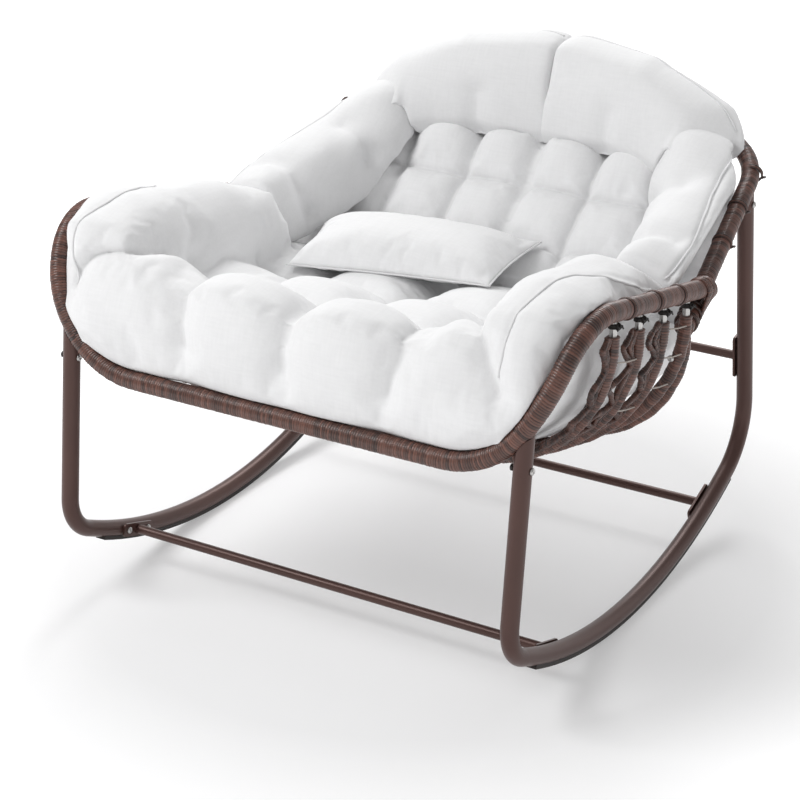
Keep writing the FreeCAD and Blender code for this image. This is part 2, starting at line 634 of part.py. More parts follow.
def bow_places():
    """Name, depth, support over it and bottom of every bow, from front to rear."""
    drops = ("bow_front_drop", "bow_second_drop", "bow_third_drop", "bow_rear_drop")
    places = []
    for index, drop in enumerate(drops):
        reach = index * size("bow_pitch") - size("bow_front_reach")
        arm_corner, arm_end = rail_points()[2:]
        share = (reach - arm_corner.y) / (arm_end.y - arm_corner.y)
        over = arm_corner + (arm_end - arm_corner) * share
        places.append((f"seat_bow_{index + 1}", over, rail_height - size(drop)))
    reach = places[-1][1].y + size("bow_diameter") + size("section_gap")
    end, corner = hoop_points()[:2]
    over = end + (corner - end) * ((reach - end.y) / (corner.y - end.y))
    places.append(("back_bow", over, rear_bow_floor))
    return places


def section_bolt_points():
    """Where bolts along Y join the rear seat bow and the back bow."""
    rear, back = bow_places()[-2:]
    bend = size("bow_corner_radius")
    height = above_rail("section_bolt_rise")
    rise = rear[2] + bend - height
    half_span = (rear[1].x + back[1].x) / 2 - bend + math.sqrt(bend ** 2 - rise ** 2)
    front_face = rear[1].y - size("bow_diameter") / 2
    sides = [Vector(way * half_span, front_face, height) for way in (-1, 1)]
    bottoms = [Vector(way * size("section_bolt_spread"), front_face, rear[2]) for way in (-1, 1)]
    return sides + bottoms


def build_bows():
    """Wrapped bows, the bare rods that hang them and the lashings round the rods."""
    length = "2 * Sizes.bow_diameter + Sizes.section_gap"
    holes = [rod(f"section_hole_{index}", point, Vector(0, 1, 0),
                 "Sizes.bolt_diameter / 2 + Sizes.hole_clearance", length)
             for index, point in enumerate(section_bolt_points())]
    drill = gather("section_holes", holes)
    bows, rods, lashings = {}, [], []
    for name, over, floor in bow_places():
        bare = "back_rod_length" if name == "back_bow" else "rod_length"
        top = over.z - size("wrap_diameter") / 2 - size(bare)
        path = wire_object(f"{name}_path", bow_edges(over.y, over.x, top, floor))
        if name in ("seat_bow_4", "back_bow"):
            bar = round_bar(f"{name}_bar", path, "Sizes.bow_diameter / 2")
            bows[name] = cut(name, bar, drill)
        else:
            bows[name] = round_bar(name, path, "Sizes.bow_diameter / 2")
        for side in (LEFT, RIGHT):
            foot = Vector(side * over.x, over.y, top)
            rods.append(rod(f"{name}_rod_blank", foot, Vector(0, 0, 1), "Sizes.rod_diameter / 2",
                            f"Sizes.{bare} + Sizes.wrap_diameter / 2"))
            if name != "back_bow":
                lashings.append(foot)
    hangers = cut("bow_rods", gather("bow_rod_blanks", rods), rail, hoop)
    return bows, hangers, lashings


bows, bow_rods, lashing_places = build_bows()


def build_lashings():
    """Cord lashing round each bare rod: a barrel that tapers to its ends."""
    inner = size("rod_diameter") / 2 + size("seat_gap")
    outer = inner + size("lashing_wall")
    waist = inner + size("lashing_wall") / 2
    top = size("rod_length") - 3 * size("seat_gap") - size("lashing_wall")
    corners = [Vector(inner, 0, 0), Vector(waist, 0, 0), Vector(outer, 0, top * 0.3),
               Vector(outer, 0, top * 0.7), Vector(waist, 0, top), Vector(inner, 0, top),
               Vector(inner, 0, 0)]
    barrel = doc.addObject("Part::Feature", "lashing_barrel")
    barrel.Shape = Part.Face(Part.makePolygon(corners)).revolve(Vector(0, 0, 0), Vector(0, 0, 1), 360)
    lift = Vector(0, 0, size("seat_gap"))
    return copies("bow_lashings", barrel, [Placement(foot + lift, Rotation()) for foot in lashing_places])


bow_lashings = build_lashings()


def build_section_bolts():
    """Bolts and nuts that join the seat section and the back section of the basket."""
    length = 2 * size("bow_diameter") + size("section_gap")
    points = section_bolt_points()
    bolts = copies("section_bolts", section_bolt, [Placement(point, ALONG_Y) for point in points])
    nuts = copies("section_nuts", nut, [Placement(point + Vector(0, length, 0), ALONG_Y) for point in points])
    outside = rod("spacer_outside", Vector(0, 0, 0), Vector(0, 0, 1), "Sizes.bolt_head_diameter / 2",
                  "Sizes.section_gap")
    bore = rod("spacer_bore", Vector(0, 0, 0), Vector(0, 0, 1),
               "Sizes.bolt_diameter / 2 + Sizes.hole_clearance", "Sizes.section_gap")
    spacer = cut("spacer", outside, bore)
    between_bows = Vector(0, size("bow_diameter"), 0)
    spacers = copies("section_spacers", spacer,
                     [Placement(point + between_bows, ALONG_Y) for point in points])
    return bolts, nuts, spacers


section_bolts, section_nuts, section_spacers = build_section_bolts()


def build_arm_stubs():
    """Short stubs that join the rear ends of the arms to the hoop under them."""
    arm_end = rail_points()[-1]
    end, corner = hoop_points()[:2]
    inset = arm_end - Vector(0, size("rod_diameter"), 0)
    under = end + (corner - end) * ((inset.y - end.y) / (corner.y - end.y))
    stubs = []
    for name, side in SIDES:
        start = Vector(side * under.x, under.y, under.z)
        reach = Vector(side * inset.x, inset.y, inset.z) - start
        stub = doc.addObject("Part::Cylinder", f"arm_stub_{name}_blank")
        stub.setExpression("Radius", "Sizes.rod_diameter / 2")
        stub.Height = reach.Length
        stub.Placement = Placement(start, Rotation(Vector(0, 0, 1), reach))
        stubs.append(stub)
    return cut("arm_stubs", gather("arm_stub_blanks", stubs), rail, hoop)


arm_stubs = build_arm_stubs()


# Wrapped ribs of the back

def rib_edges(across):
    """A rib's centre line from the back bow round under the cushion and up to the hoop."""
    start_reach = bow_places()[-1][1].y + size("bow_diameter") / 2 + size("seat_gap")
    end = point_on(hoop_path, "x", abs(across), hoop_over_post.y)
    corners = [Vector(across, start_reach, rear_bow_floor),
               Vector(across, size("rib_heel_reach"), rear_bow_floor),
               Vector(across, size("rib_neck_reach"), above_rail("rib_neck_rise")),
               Vector(across, end.y, end.z)]
    return bent_edges(corners, [size("rib_heel_radius"), size("rib_neck_radius")])


def build_back_ribs():
    """Ribs of the back, each in a plane along the chair."""
    ribs = {}
    for index in range(RIB_COUNT):
        across = (index - RIB_COUNT // 2) * size("rib_spacing")
        path = wire_object(f"back_rib_path_{index + 1}", rib_edges(across))
        bar = round_bar(f"back_rib_bar_{index + 1}", path, "Sizes.rib_diameter / 2")
        ribs[f"back_rib_{index + 1}"] = cut(f"back_rib_{index + 1}", bar, hoop)
    return ribs


back_ribs = build_back_ribs()


# Cushion: seat, back, arm bolsters, side wings and headrests

def bowl_section(reach, half_span, floor, bend, top, crown, columns):
    """A slice across the cushion: round underside and a row of crowned tufts on top."""
    drop = floor + bend - top
    top_half = half_span - bend + math.sqrt(bend ** 2 - drop ** 2)
    lean = math.asin(drop / bend) / 2 + math.pi / 4
    belly = Vector(half_span - bend + bend * math.cos(lean), reach, floor + bend - bend * math.sin(lean))
    right_low, right_top = Vector(half_span - bend, reach, floor), Vector(top_half, reach, top)
    edges = [Part.LineSegment(mirrored(right_low), right_low).toShape(),
             Part.Arc(right_low, belly, right_top).toShape()]
    pitch = 2 * top_half / columns
    for column in range(columns):
        start = Vector(top_half - column * pitch, reach, top)
        middle = Vector(start.x - pitch / 2, reach, top + crown)
        edges.append(Part.Arc(start, middle, Vector(start.x - pitch, reach, top)).toShape())
    edges.append(Part.Arc(mirrored(right_top), mirrored(belly), mirrored(right_low)).toShape())
    return edges


def puffed_section(corners, bulge, place):
    """A slice of a bolster: foot, outer side, crest and inner side, bulging between four corners.

    The outer side stays nearly flat, so that the cushion lifts straight out of the basket.
    """
    edges = []
    for start, end, share in zip(corners, corners[1:] + corners[:1], (1, 0.15, 1, 1)):
        across, up = end[0] - start[0], end[1] - start[1]
        swell = share * bulge / math.hypot(across, up)
        middle = ((start[0] + end[0]) / 2 + swell * up, (start[1] + end[1]) / 2 - swell * across)
        edges.append(Part.Arc(place(*start), place(*middle), place(*end)).toShape())
    return edges


def loft(label, sections):
    """A closed solid ruled through a row of sections."""
    slices = [wire_object(f"{label}_slice_{index}", edges) for index, edges in enumerate(sections)]
    solid = doc.addObject("Part::Loft", label)
    solid.Sections = slices
    solid.Solid = True
    solid.Ruled = True
    return solid


def between(start, end, share):
    """The value part of the way from one number to another."""
    return start + (end - start) * share


def largest(label, piece):
    """The biggest solid of a cut piece, without the slivers that the cut leaves."""
    doc.recompute()
    whole = doc.addObject("Part::Feature", label)
    whole.Shape = max(piece.Shape.Solids, key=lambda solid: solid.Volume)
    return whole


soft_gap = size("seat_gap") + 0.1
bow_clear = size("bow_diameter") / 2 + soft_gap
rail_clear = size("wrap_diameter") / 2 + 2 * soft_gap + size("nut_height")
crease = size("crease_reach")


def hoop_half_span(reach):
    """Half the room between the hoop's sides at a depth."""
    near = [point for point in hoop_path.Shape.discretize(2000)
            if point.x > 0 and abs(point.y - reach) < rail_clear]
    return min(point.x + abs(point.y - reach) ** 2 / (2 * rail_clear) for point in near) - rail_clear


def rib_floor(reach):
    """Height at which the cushion clears the ribs at a depth."""
    clear = size("rib_diameter") / 2 + soft_gap
    near = [point for point in Part.Wire(rib_edges(0)).discretize(2000) if abs(point.y - reach) < clear]
    return max(point.z + math.sqrt(clear ** 2 - (point.y - reach) ** 2) for point in near)


def build_seat_pad():
    """Seat of the cushion, resting on the bows, with three rows of tufts."""
    low_crown, crown = size("tuft_seam_crown"), size("tuft_crown")
    front = -size("front_post_reach") - size("seat_front_overhang")
    over_rail = rail_height + rail_clear
    lip = half_width + size("seat_lip")
    front_bend = size("seat_front_bend")
    top, rear_top = above_rail("seat_front_rise"), above_rail("seat_rear_rise")
    # The front face rounds over: setback, then what changes in span, floor, bend, top and crown.
    rows = ((0, -70, 22, -30, -45, low_crown), (27, 0, 0, 0, 0, crown), (95, 20, -20, 40, 0, crown + 4))
    sections = [bowl_section(front + setback, lip + wider, over_rail + higher, front_bend + rounder,
                             top + rise, puff, SEAT_COLUMNS)
                for setback, wider, higher, rounder, rise, puff in rows]
    places = bow_places()[:4]
    before, before_floor = front, rail_height
    for index, (name, over, floor) in enumerate(places):
        half_span = over.x - rail_clear
        if index == len(places) - 1:
            half_span = hoop_half_span(over.y + size("bow_pitch") / 2)
        steepest = (before_floor - floor) / (over.y - before)
        before, before_floor = over.y, floor
        lift = size("bow_diameter") / 2 * math.hypot(1, steepest) + soft_gap
        tuft_top = between(top, rear_top, (over.y - front) / (crease - front))
        sections.append(bowl_section(over.y, half_span, floor + lift, size("bow_corner_radius") - lift,
                                     tuft_top, crown if index % 2 else low_crown, SEAT_COLUMNS))
    rear_floor = max(rib_floor(crease), rear_bow_floor + bow_clear)
    sections.append(bowl_section(crease, hoop_half_span(crease), rear_floor, size("seat_rear_bend"),
                                 rear_top, low_crown, SEAT_COLUMNS))
    return cut("seat_pad", loft("seat_pad_blank", sections), rail_room)


def build_back_pad():
    """Tufted back of the cushion, lying on the ribs."""
    low_crown, crown = size("tuft_seam_crown"), size("tuft_crown")
    start, end = crease + soft_gap, size("back_top_reach")
    first_floor = max(rib_floor(start), rear_bow_floor + bow_clear)
    low_top, high_top = above_rail("seat_rear_rise"), above_rail("back_top_rise")
    sections = [bowl_section(start, hoop_half_span(start), first_floor, size("seat_rear_bend"), low_top,
                             low_crown, SEAT_COLUMNS)]
    rows = 5
    for row in range(1, rows + 1):
        share = row / rows
        reach = between(start, end, share)
        top = between(low_top, high_top, share ** 1.15)
        sections.append(bowl_section(reach, hoop_half_span(reach), rib_floor(reach), size("back_bend"),
                                     top, crown if row % 2 else low_crown, SEAT_COLUMNS))
    return loft("back_pad", sections)


seat_pad = build_seat_pad()
back_pad = build_back_pad()


def bolster_slice(side, reach, outer, top, bulge, width):
    """A slice of the rolled arm: its foot inside the rail or hoop, its crest leaning over it."""
    crest, foot = top - bulge, top - bulge - size("bolster_width")
    outer_foot = outer - size("bolster_lean")
    corners = [(outer_foot - width, foot), (outer_foot, foot + 25),
               (outer, crest - 10), (outer - width - 8, crest)]

    def place(across, up):
        return Vector(side * across, reach, up)
    return puffed_section(corners, bulge, place)


def build_arm_bolster(name, side):
    """Front lobe of the cushion's rolled arm, resting over the seat rail."""
    bulge = size("bolster_bulge")
    outer = rail_points()[-1].x - size("bolster_inset")
    front_top, rear_top = above_rail("bolster_front_rise"), above_rail("bolster_rear_rise")
    front, rear = rail_points()[2].y - size("bolster_front_lap"), size("arm_seam_reach")
    # Depth, outer side, crest and swell of each slice from front to rear.
    rows = (
        (front, outer - 62, front_top - 48, 0.5),
        (front + 34, outer - 34, front_top - 14, 0.8),
        (front + 132, outer, front_top, 1.0),
        (between(front + 132, rear, 0.55), outer, between(front_top, rear_top, 0.45), 1.0),
        (rear, outer - 12, rear_top, 0.7),
    )
    width = size("bolster_width")
    sections = [bolster_slice(side, reach, out, top, bulge * swell, width) for reach, out, top, swell in rows]
    blank = loft(f"arm_bolster_blank_{name}", sections)
    trimmed = cut(f"arm_bolster_trimmed_{name}", blank, seat_pad, rail_room, hoop_room)
    return largest(f"arm_bolster_{name}", trimmed)


def build_side_wing(name, side):
    """Rear lobe of the rolled arm, beside the back and resting over the hoop."""
    bulge = size("bolster_bulge")
    start, end = size("arm_seam_reach") + soft_gap, size("wing_end_reach")
    rows = 4
    sections = []
    for row in range(rows + 1):
        share = row / rows
        reach = between(start, end, share)
        outer = hoop_half_span(max(reach, hoop_points()[0].y)) + rail_clear - size("wing_inset")
        top = between(above_rail("bolster_rear_rise"), above_rail("wing_rear_rise"), share ** 1.3)
        swell = bulge * (0.7 if row in (0, rows) else 1)
        sections.append(bolster_slice(side, reach, outer, top, swell, size("wing_width")))
    blank = loft(f"side_wing_blank_{name}", sections)
    trimmed = cut(f"side_wing_trimmed_{name}", blank, seat_pad, back_pad, hoop_room, rail_room)
    return largest(f"side_wing_{name}", trimmed)


arm_bolsters = {name: build_arm_bolster(name, side) for name, side in SIDES}
side_wings = {name: build_side_wing(name, side) for name, side in SIDES}


def build_headrest(name, side):
    """One of the two puffed panels that top the back, leaning over the hoop."""
    bulge, depth = size("bolster_bulge"), size("headrest_depth")
    end = size("headrest_half_width")
    bottom = above_rail("back_top_rise") - size("headrest_lap")
    over_hoop, last_over_hoop = 4, -26
    # Share of the width, share of the rise, swell and lean over the hoop of each slice.
    rows = ((0.0, 0.94, 0.5, over_hoop), (0.1, 1.0, 0.9, over_hoop), (0.5, 0.88, 0.9, over_hoop),
            (0.82, 0.47, 0.8, over_hoop), (1.0, 0.0, 0.5, last_over_hoop))
    sections = []
    for share, rise, swell, behind_hoop in rows:
        across = between(soft_gap / 2, end, share)
        hoop_reach = point_on(hoop_path, "x", across, hoop_over_post.y).y
        top = between(above_rail("headrest_end_rise"), above_rail("headrest_rise"), rise) - bulge * swell
        rear_foot, rear_top = hoop_reach - size("headrest_foot"), hoop_reach + behind_hoop
        corners = [(rear_foot - depth * 0.8, bottom), (rear_foot, bottom),
                   (rear_top, top), (rear_top - depth, top)]

        def place(reach, up, across=across):
            return Vector(side * across, reach, up)
        sections.append(puffed_section(corners, bulge * swell, place))
    blank = loft(f"headrest_blank_{name}", sections)
    trimmed = cut(f"headrest_trimmed_{name}", blank, back_pad, side_wings[name], hoop_room)
    return largest(f"headrest_{name}", trimmed)


headrests = {name: build_headrest(name, side) for name, side in SIDES}


def build_pillow():
    """Knife edged lumbar pillow, laid on the seat against the back."""
    half_length, half_depth = size("pillow_length") / 2, size("pillow_depth") / 2
    sections = []
    # Share of the length, of the depth and of the thickness of each slice.
    for share, pull, puff in ((-1, 1.0, 0.0), (-0.8, 0.95, 0.55), (-0.4, 0.92, 0.93), (0, 0.91, 1.0),
                              (0.4, 0.92, 0.93), (0.8, 0.95, 0.55), (1, 1.0, 0.0)):
        thick = between(size("pillow_edge"), size("pillow_thickness"), puff) / 2
        along, deep = share * half_length, pull * half_depth
        front, rear = Vector(along, -deep, 0), Vector(along, deep, 0)
        sections.append([Part.Arc(front, Vector(along, 0, thick), rear).toShape(),
                         Part.Arc(rear, Vector(along, 0, -thick), front).toShape()])
    return loft("pillow_blank", sections)


def seat_pillow(blank):
    """Lower the pillow until it lies on the cushion."""
    doc.recompute()
    below = Part.makeCompound([pad.Shape for pad in (seat_pad, back_pad)])
    tilt = Rotation(Vector(1, 0, 0), size("pillow_tilt"))
    turn = Rotation(Vector(0, 0, 1), size("pillow_turn")).multiply(tilt)
    height = above_rail("seat_front_rise") + size("pillow_thickness")
    pillow = doc.addObject("Part::Feature", "lumbar_pillow")
    pillow.Shape = blank.Shape
    for step in range(40):
        pillow.Placement = Placement(Vector(-size("pillow_offset"), size("pillow_reach"), height), turn)
        room = pillow.Shape.distToShape(below)[0]
        if room < soft_gap + 0.05:
            break
        height -= room - soft_gap
    return pillow


lumbar_pillow = seat_pillow(build_pillow())


# Check and write every piece

PIECES = [
    *side_frames.values(), *rocker_strips.values(), *crossbars.values(), *crossbar_plates.values(),
    crossbar_bolts, post_bolts, post_nuts, front_spigots, rear_spigots, rail, hoop, arm_caps,
    *bows.values(), bow_rods, bow_lashings, section_bolts, section_nuts, section_spacers, arm_stubs,
    *back_ribs.values(), seat_pad, back_pad, *arm_bolsters.values(), *side_wings.values(),
    *headrests.values(), lumbar_pillow,
]

doc.recompute()
for item in doc.Objects:
    if "Invalid" in item.State or "Error" in item.State:
        raise RuntimeError(f"{item.Label} did not build: {item.State}")
os.makedirs("parts", exist_ok=True)
for piece in PIECES:
    shape = piece.Shape
    if shape.isNull() or not shape.isValid() or not shape.Solids:
        raise RuntimeError(f"{piece.Label} has no valid solid")
    shape.exportStep(f"parts/{piece.Label}.step")
print(f"{len(PIECES)} pieces")
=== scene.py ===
import json
import math

import bpy
import numpy as np
from bpy.props import FloatProperty, FloatVectorProperty, IntProperty, PointerProperty
from mathutils import Matrix, Vector
from mathutils.bvhtree import BVHTree

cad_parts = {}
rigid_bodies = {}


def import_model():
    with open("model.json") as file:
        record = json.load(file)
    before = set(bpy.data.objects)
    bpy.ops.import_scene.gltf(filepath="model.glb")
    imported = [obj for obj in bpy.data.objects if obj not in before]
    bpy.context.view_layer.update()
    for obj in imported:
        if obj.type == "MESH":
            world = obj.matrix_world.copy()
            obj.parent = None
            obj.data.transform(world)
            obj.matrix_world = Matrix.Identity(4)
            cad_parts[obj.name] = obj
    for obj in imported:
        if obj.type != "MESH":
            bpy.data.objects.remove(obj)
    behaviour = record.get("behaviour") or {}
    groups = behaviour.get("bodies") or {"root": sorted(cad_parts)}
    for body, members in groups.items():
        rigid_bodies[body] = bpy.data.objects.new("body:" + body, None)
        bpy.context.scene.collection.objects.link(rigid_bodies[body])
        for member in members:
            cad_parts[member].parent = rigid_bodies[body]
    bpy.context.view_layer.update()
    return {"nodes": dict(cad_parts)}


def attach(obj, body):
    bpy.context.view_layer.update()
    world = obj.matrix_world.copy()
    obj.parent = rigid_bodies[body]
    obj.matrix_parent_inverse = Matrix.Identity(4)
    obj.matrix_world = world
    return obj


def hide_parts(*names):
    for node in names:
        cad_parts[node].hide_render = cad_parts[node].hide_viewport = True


bl_info = {
    "name": "Rattan rocking chair",
    "version": (1, 0, 0),
    "blender": (4, 5, 0),
    "location": "View3D > Sidebar > Chair",
    "description": "Dresses the packed rocking chair in wicker, cord, paint and tufted cushions",
    "category": "Object",
}

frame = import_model()
MM = 0.001
SIDES = (("left", -1), ("right", 1))

# Centre lines that part.py gives the wrapped bars, in millimetres on the right of the chair.
RAIL_CORNERS = ((378, -445, 438), (461, -428, 559), (491, -356, 678), (484, 110, 574))
RAIL_BENDS = (160, 200, 115)
HOOP_CORNERS = ((0, 599.8, 757.6), (417, 499.8, 693.05), (474.35, 44.8, 518.8))
HOOP_BENDS = (150, 600, 150)
WRAP_RADIUS = 16.5
# Depth, half span, wrapped top and bottom of each bow.
BOWS = {
    "seat_bow_1": (-265.0, 489.6, 617.2, 362.0), "seat_bow_2": (-168.0, 488.2, 595.5, 332.0),
    "seat_bow_3": (-71.0, 486.7, 573.9, 304.0), "seat_bow_4": (26.0, 485.3, 552.2, 288.0),
    "back_bow": (57.0, 472.8, 501.0, 288.0),
}
BOW_RADIUS, BOW_BEND = 12.0, 265.0
RIB_RADIUS, RIB_SPACING = 9.0, 92.0
POST_BOLTS = ((-437.0, 450.0), (401.0, 626.6))
SECTION_BOLTS = ((467.6, 476.0), (150.0, 288.0))
SECTION_ENDS = (14, 69)
POST_MIDDLE, POST_RADIUS = 430, 15
# End plates of the crossbars: inner face, bolts from the middle, and the places on the rocker and the post.
PLATE_FACE, PLATE_BOLT = 410.7, 28
ROCKER_RADIUS, ROCKER_CENTRE, CROSSBAR_REACH = 960, 979, 307.8
REAR_LEAN, UPPER_PLATE = math.radians(8.9), 313
# Lacing of the first three bows: spacing of the bows, and each cane's swing near its bow and away from it.
BOW_SPACING = 97.0
LACE_CANES = ((11.0, 66.0), (9.0, 36.0), (8.0, 20.0))
LACE_FIRST_SWING, LACE_RADIUS, LACE_BENDS = 42.0, 6.4, 90
# Spacing of the rows of points along a wound bar.
BAR_STEP = 0.85


# Sizes and colours that a user would change

def number_setting(name, description, default, **kind):
    return FloatProperty(name=name, description=description, default=default, **kind)


def size_setting(name, description, default):
    return number_setting(name, description, default * MM, unit="LENGTH")


def colour_setting(name, description, default):
    return FloatVectorProperty(name=name, description=description, default=default, subtype="COLOR")


class WickerLook(bpy.types.PropertyGroup):
    rail_pitch: size_setting("Rail pitch", "Width of a strand on the rail and the hoop", 4.2)
    bow_pitch: size_setting("Bow pitch", "Width of a strand on the bows and ribs", 4.8)
    ridge: size_setting("Ridge", "Height of a strand over the groove beside it", 1.5)
    # The dark strand colour is also the painted shade that the grooves between turns take.
    dark: colour_setting("Dark strand", "Colour in the grooves", (0.017, 0.0062, 0.0045))
    light: colour_setting("Light strand", "Colour of the palest strands", (0.205, 0.086, 0.060))
    cord: colour_setting("Cord", "Colour of the lashing cord", (0.012, 0.008, 0.007))
    tie: colour_setting("Tie", "Colour of the thin ties", (0.42, 0.37, 0.33))


class CushionLook(bpy.types.PropertyGroup):
    fabric: colour_setting("Fabric", "Colour of the woven cover", (0.83, 0.83, 0.835))
    pressure: number_setting("Pressure", "Push of the filling from inside", 4.0)
    growth: number_setting("Growth", "Share of spare cloth that the cover is cut with", 0.02)
    swell: size_setting("Swell", "Furthest that the filling moves the cover", 14)
    frames: IntProperty(name="Frames", description="Steps of the cloth simulation", default=18)
    piping: size_setting("Piping", "Diameter of the piped seams", 4.2)


class MetalLook(bpy.types.PropertyGroup):
    paint: colour_setting("Paint", "Colour of the tube frame", (0.078, 0.038, 0.031))
    strip: colour_setting("Rocker strip", "Colour of the strips under the rockers", (0.016, 0.012, 0.011))
    zinc: colour_setting("Zinc", "Colour of the plated bolts", (0.50, 0.49, 0.48))
    nut: colour_setting("Nut", "Colour of the dark cap nuts", (0.018, 0.015, 0.014))


class StageLook(bpy.types.PropertyGroup):
    floor: colour_setting("Floor", "Colour of the plain floor", (0.66, 0.66, 0.665))
    glow: number_setting("Glow", "Light that the floor gives off, so that it stays pale", 0.29)
    azimuth: number_setting("Azimuth", "Camera round the chair from its front", math.radians(30.82),
                            subtype="ANGLE")
    elevation: number_setting("Elevation", "Camera above the horizon", math.radians(23.94), subtype="ANGLE")
    distance: number_setting("Distance", "Camera from its aim", 3.735, unit="LENGTH")
    aim: FloatVectorProperty(name="Aim", description="Point that the camera looks at", subtype="TRANSLATION",
                             default=(0.0, -0.0758, 0.3287))
    lens: number_setting("Lens", "Focal length on a 36 mm sensor, in millimetres", 96.0)
    sky: number_setting("Sky", "Strength of the even light all round", 0.42)
    key: number_setting("Key", "Power of the large soft light", 122.0)
    fill: number_setting("Fill", "Power of the softer light across from it", 8.0)
    rear: number_setting("Rear", "Power of the light that edges the rail", 70.0)


# Shader expressions and the materials of the chair

class Signal:
    """A shader socket that takes part in arithmetic: each operation adds a Math node."""

    def __init__(self, paint, socket):
        self.paint, self.socket = paint, socket

    def math(self, operation, first, second):
        return self.paint.add("ShaderNodeMath", {"operation": operation}, {0: first, 1: second})

    def __add__(self, other):
        return self.math("ADD", self, other)

    def __radd__(self, other):
        return self.math("ADD", other, self)

    def __sub__(self, other):
        return self.math("SUBTRACT", self, other)

    def __rsub__(self, other):
        return self.math("SUBTRACT", other, self)

    def __mul__(self, other):
        return self.math("MULTIPLY", self, other)

    def __rmul__(self, other):
        return self.math("MULTIPLY", other, self)

    def clamped(self):
        return self.paint.add("ShaderNodeClamp", None, {"Value": self})


class Finish:
    """One node material, and the method that adds nodes to it."""

    def __init__(self, name):
        self.material = bpy.data.materials.new(name)
        self.material.use_nodes = True
        self.tree = self.material.node_tree
        self.shader = self.tree.nodes["Principled BSDF"]

    def add(self, kind, settings=None, sockets=None, output=0):
        """A node of a type, with its settings set first, then the values or links of its sockets."""
        node = self.tree.nodes.new(kind)
        for key, value in (settings or {}).items():
            if key == "stops":
                stops = node.color_ramp.elements
                while len(stops) < len(value):
                    stops.new(0.5)
                for stop, (place, colour) in zip(stops, value):
                    stop.position, stop.color = place, colour
            else:
                setattr(node, key, value)
        for key, value in (sockets or {}).items():
            self.feed(node.inputs[key], value)
        return Signal(self, node.outputs[output])

    def feed(self, socket, value):
        if isinstance(value, Signal):
            self.tree.links.new(value.socket, socket)
        else:
            socket.default_value = value

    def shade(self, **sockets):
        """Set the shader's own sockets; an underscore in a name stands for a space."""
        for key, value in sockets.items():
            self.feed(self.shader.inputs[key.replace("_", " ")], value)
        return self.material

    def place(self):
        return self.add("ShaderNodeTexCoord", output=3)

    def noise(self, scale, detail=3.0, stretch=None):
        """Noise in the object's own space, stretched where a vector is given."""
        place = self.place()
        if stretch:
            place = self.add("ShaderNodeMapping", None, {"Vector": place, "Scale": stretch})
        return self.add("ShaderNodeTexNoise", None, {"Vector": place, "Scale": scale, "Detail": detail})

    def mixed(self, share, first, second):
        """A colour between two colours."""
        return self.add("ShaderNodeMix", {"data_type": "RGBA"},
                        {0: share, 6: opaque(first), 7: opaque(second)}, output=2)

    def tones(self, share, colour, low, high):
        """A colour between a darker and a paler tone of one colour."""
        return self.mixed(share, scaled(colour, low), scaled(colour, high))

    def attribute(self, name):
        """A value that the mesh holds at each point."""
        return self.add("ShaderNodeAttribute", {"attribute_name": name}, output=2)

    def bump(self, height, strength, distance):
        return self.add("ShaderNodeBump", None,
                        {"Height": height, "Strength": strength, "Distance": distance})


def opaque(colour):
    return colour if isinstance(colour, Signal) else (*colour, 1.0)


def scaled(colour, factor):
    return tuple(min(1.0, value * factor) for value in colour)


def wicker_finish(look):
    """Resin wicker: strands of slightly different browns, with painted shade in the grooves, streaked along the
    strand.
    """
    finish = Finish("wicker")
    tint = finish.attribute("tint")
    groove = finish.attribute("groove")
    blotch, streak = finish.noise(9.0), finish.noise(420.0, 2.0)
    # The groove term is painted shade in the grooves between turns; tint, blotch and streak are the strands' own
    # tones.
    share = (tint * 0.55 + blotch * 0.55 + streak * 0.30 - groove * 0.75 - 0.12).clamped()
    colour = finish.mixed(share, look.dark[:], look.light[:])
    return finish.shade(Base_Color=colour, Roughness=(0.26 + groove * 0.34 + streak * 0.10).clamped(),
                        Normal=finish.bump(streak, 0.18, 0.0006), Specular_IOR_Level=0.58)


def cord_finish(name, colour):
    """Twisted cord, with painted shade in the lay, and a little furred."""
    finish = Finish(name)
    groove = finish.attribute("groove")
    fibre = finish.noise(900.0)
    # The groove term is painted shade in the lay between the strands.
    share = (fibre * 0.8 + 0.2 - groove * 0.5).clamped()
    return finish.shade(Base_Color=finish.tones(share, colour, 0.45, 1.7),
                        Roughness=(0.48 + fibre * 0.2).clamped(), Normal=finish.bump(fibre, 0.25, 0.0004))


def paint_finish(name, colour, roughness, metallic):
    """Powder coat: fine orange peel, with faint clouds in its colour and gloss."""
    finish = Finish(name)
    cloud, peel = finish.noise(6.0), finish.noise(650.0, 2.0)
    share = (cloud * 0.9 + peel * 0.25 - 0.08).clamped()
    return finish.shade(Base_Color=finish.tones(share, colour, 0.72, 1.3),
                        Roughness=(roughness - 0.06 + cloud * 0.12).clamped(), Metallic=metallic,
                        Normal=finish.bump(peel, 0.10, 0.0004))


def zinc_finish(look):
    """Zinc plate: bright, with a fine grain and duller clouds."""
    finish = Finish("zinc")
    cloud, grain = finish.noise(160.0), finish.noise(1400.0, 2.0)
    share = (cloud * 0.7 + grain * 0.4 - 0.05).clamped()
    return finish.shade(Base_Color=finish.tones(share, look.zinc, 0.7, 1.25),
                        Roughness=(0.20 + cloud * 0.22).clamped(), Metallic=0.95,
                        Normal=finish.bump(grain, 0.12, 0.0003))


def strip_finish(look):
    """Moulded strip: near black, matt, scuffed where it meets the floor."""
    finish = Finish("rocker_strip")
    grain, scuff = finish.noise(500.0, 2.0), finish.noise(30.0, 6.0, (1.0, 0.15, 1.0))
    share = (scuff * 0.9 + grain * 0.3 - 0.25).clamped()
    return finish.shade(Base_Color=finish.tones(share, look.strip, 0.7, 2.2),
                        Roughness=(0.50 + scuff * 0.25).clamped(), Normal=finish.bump(grain, 0.2, 0.0005))


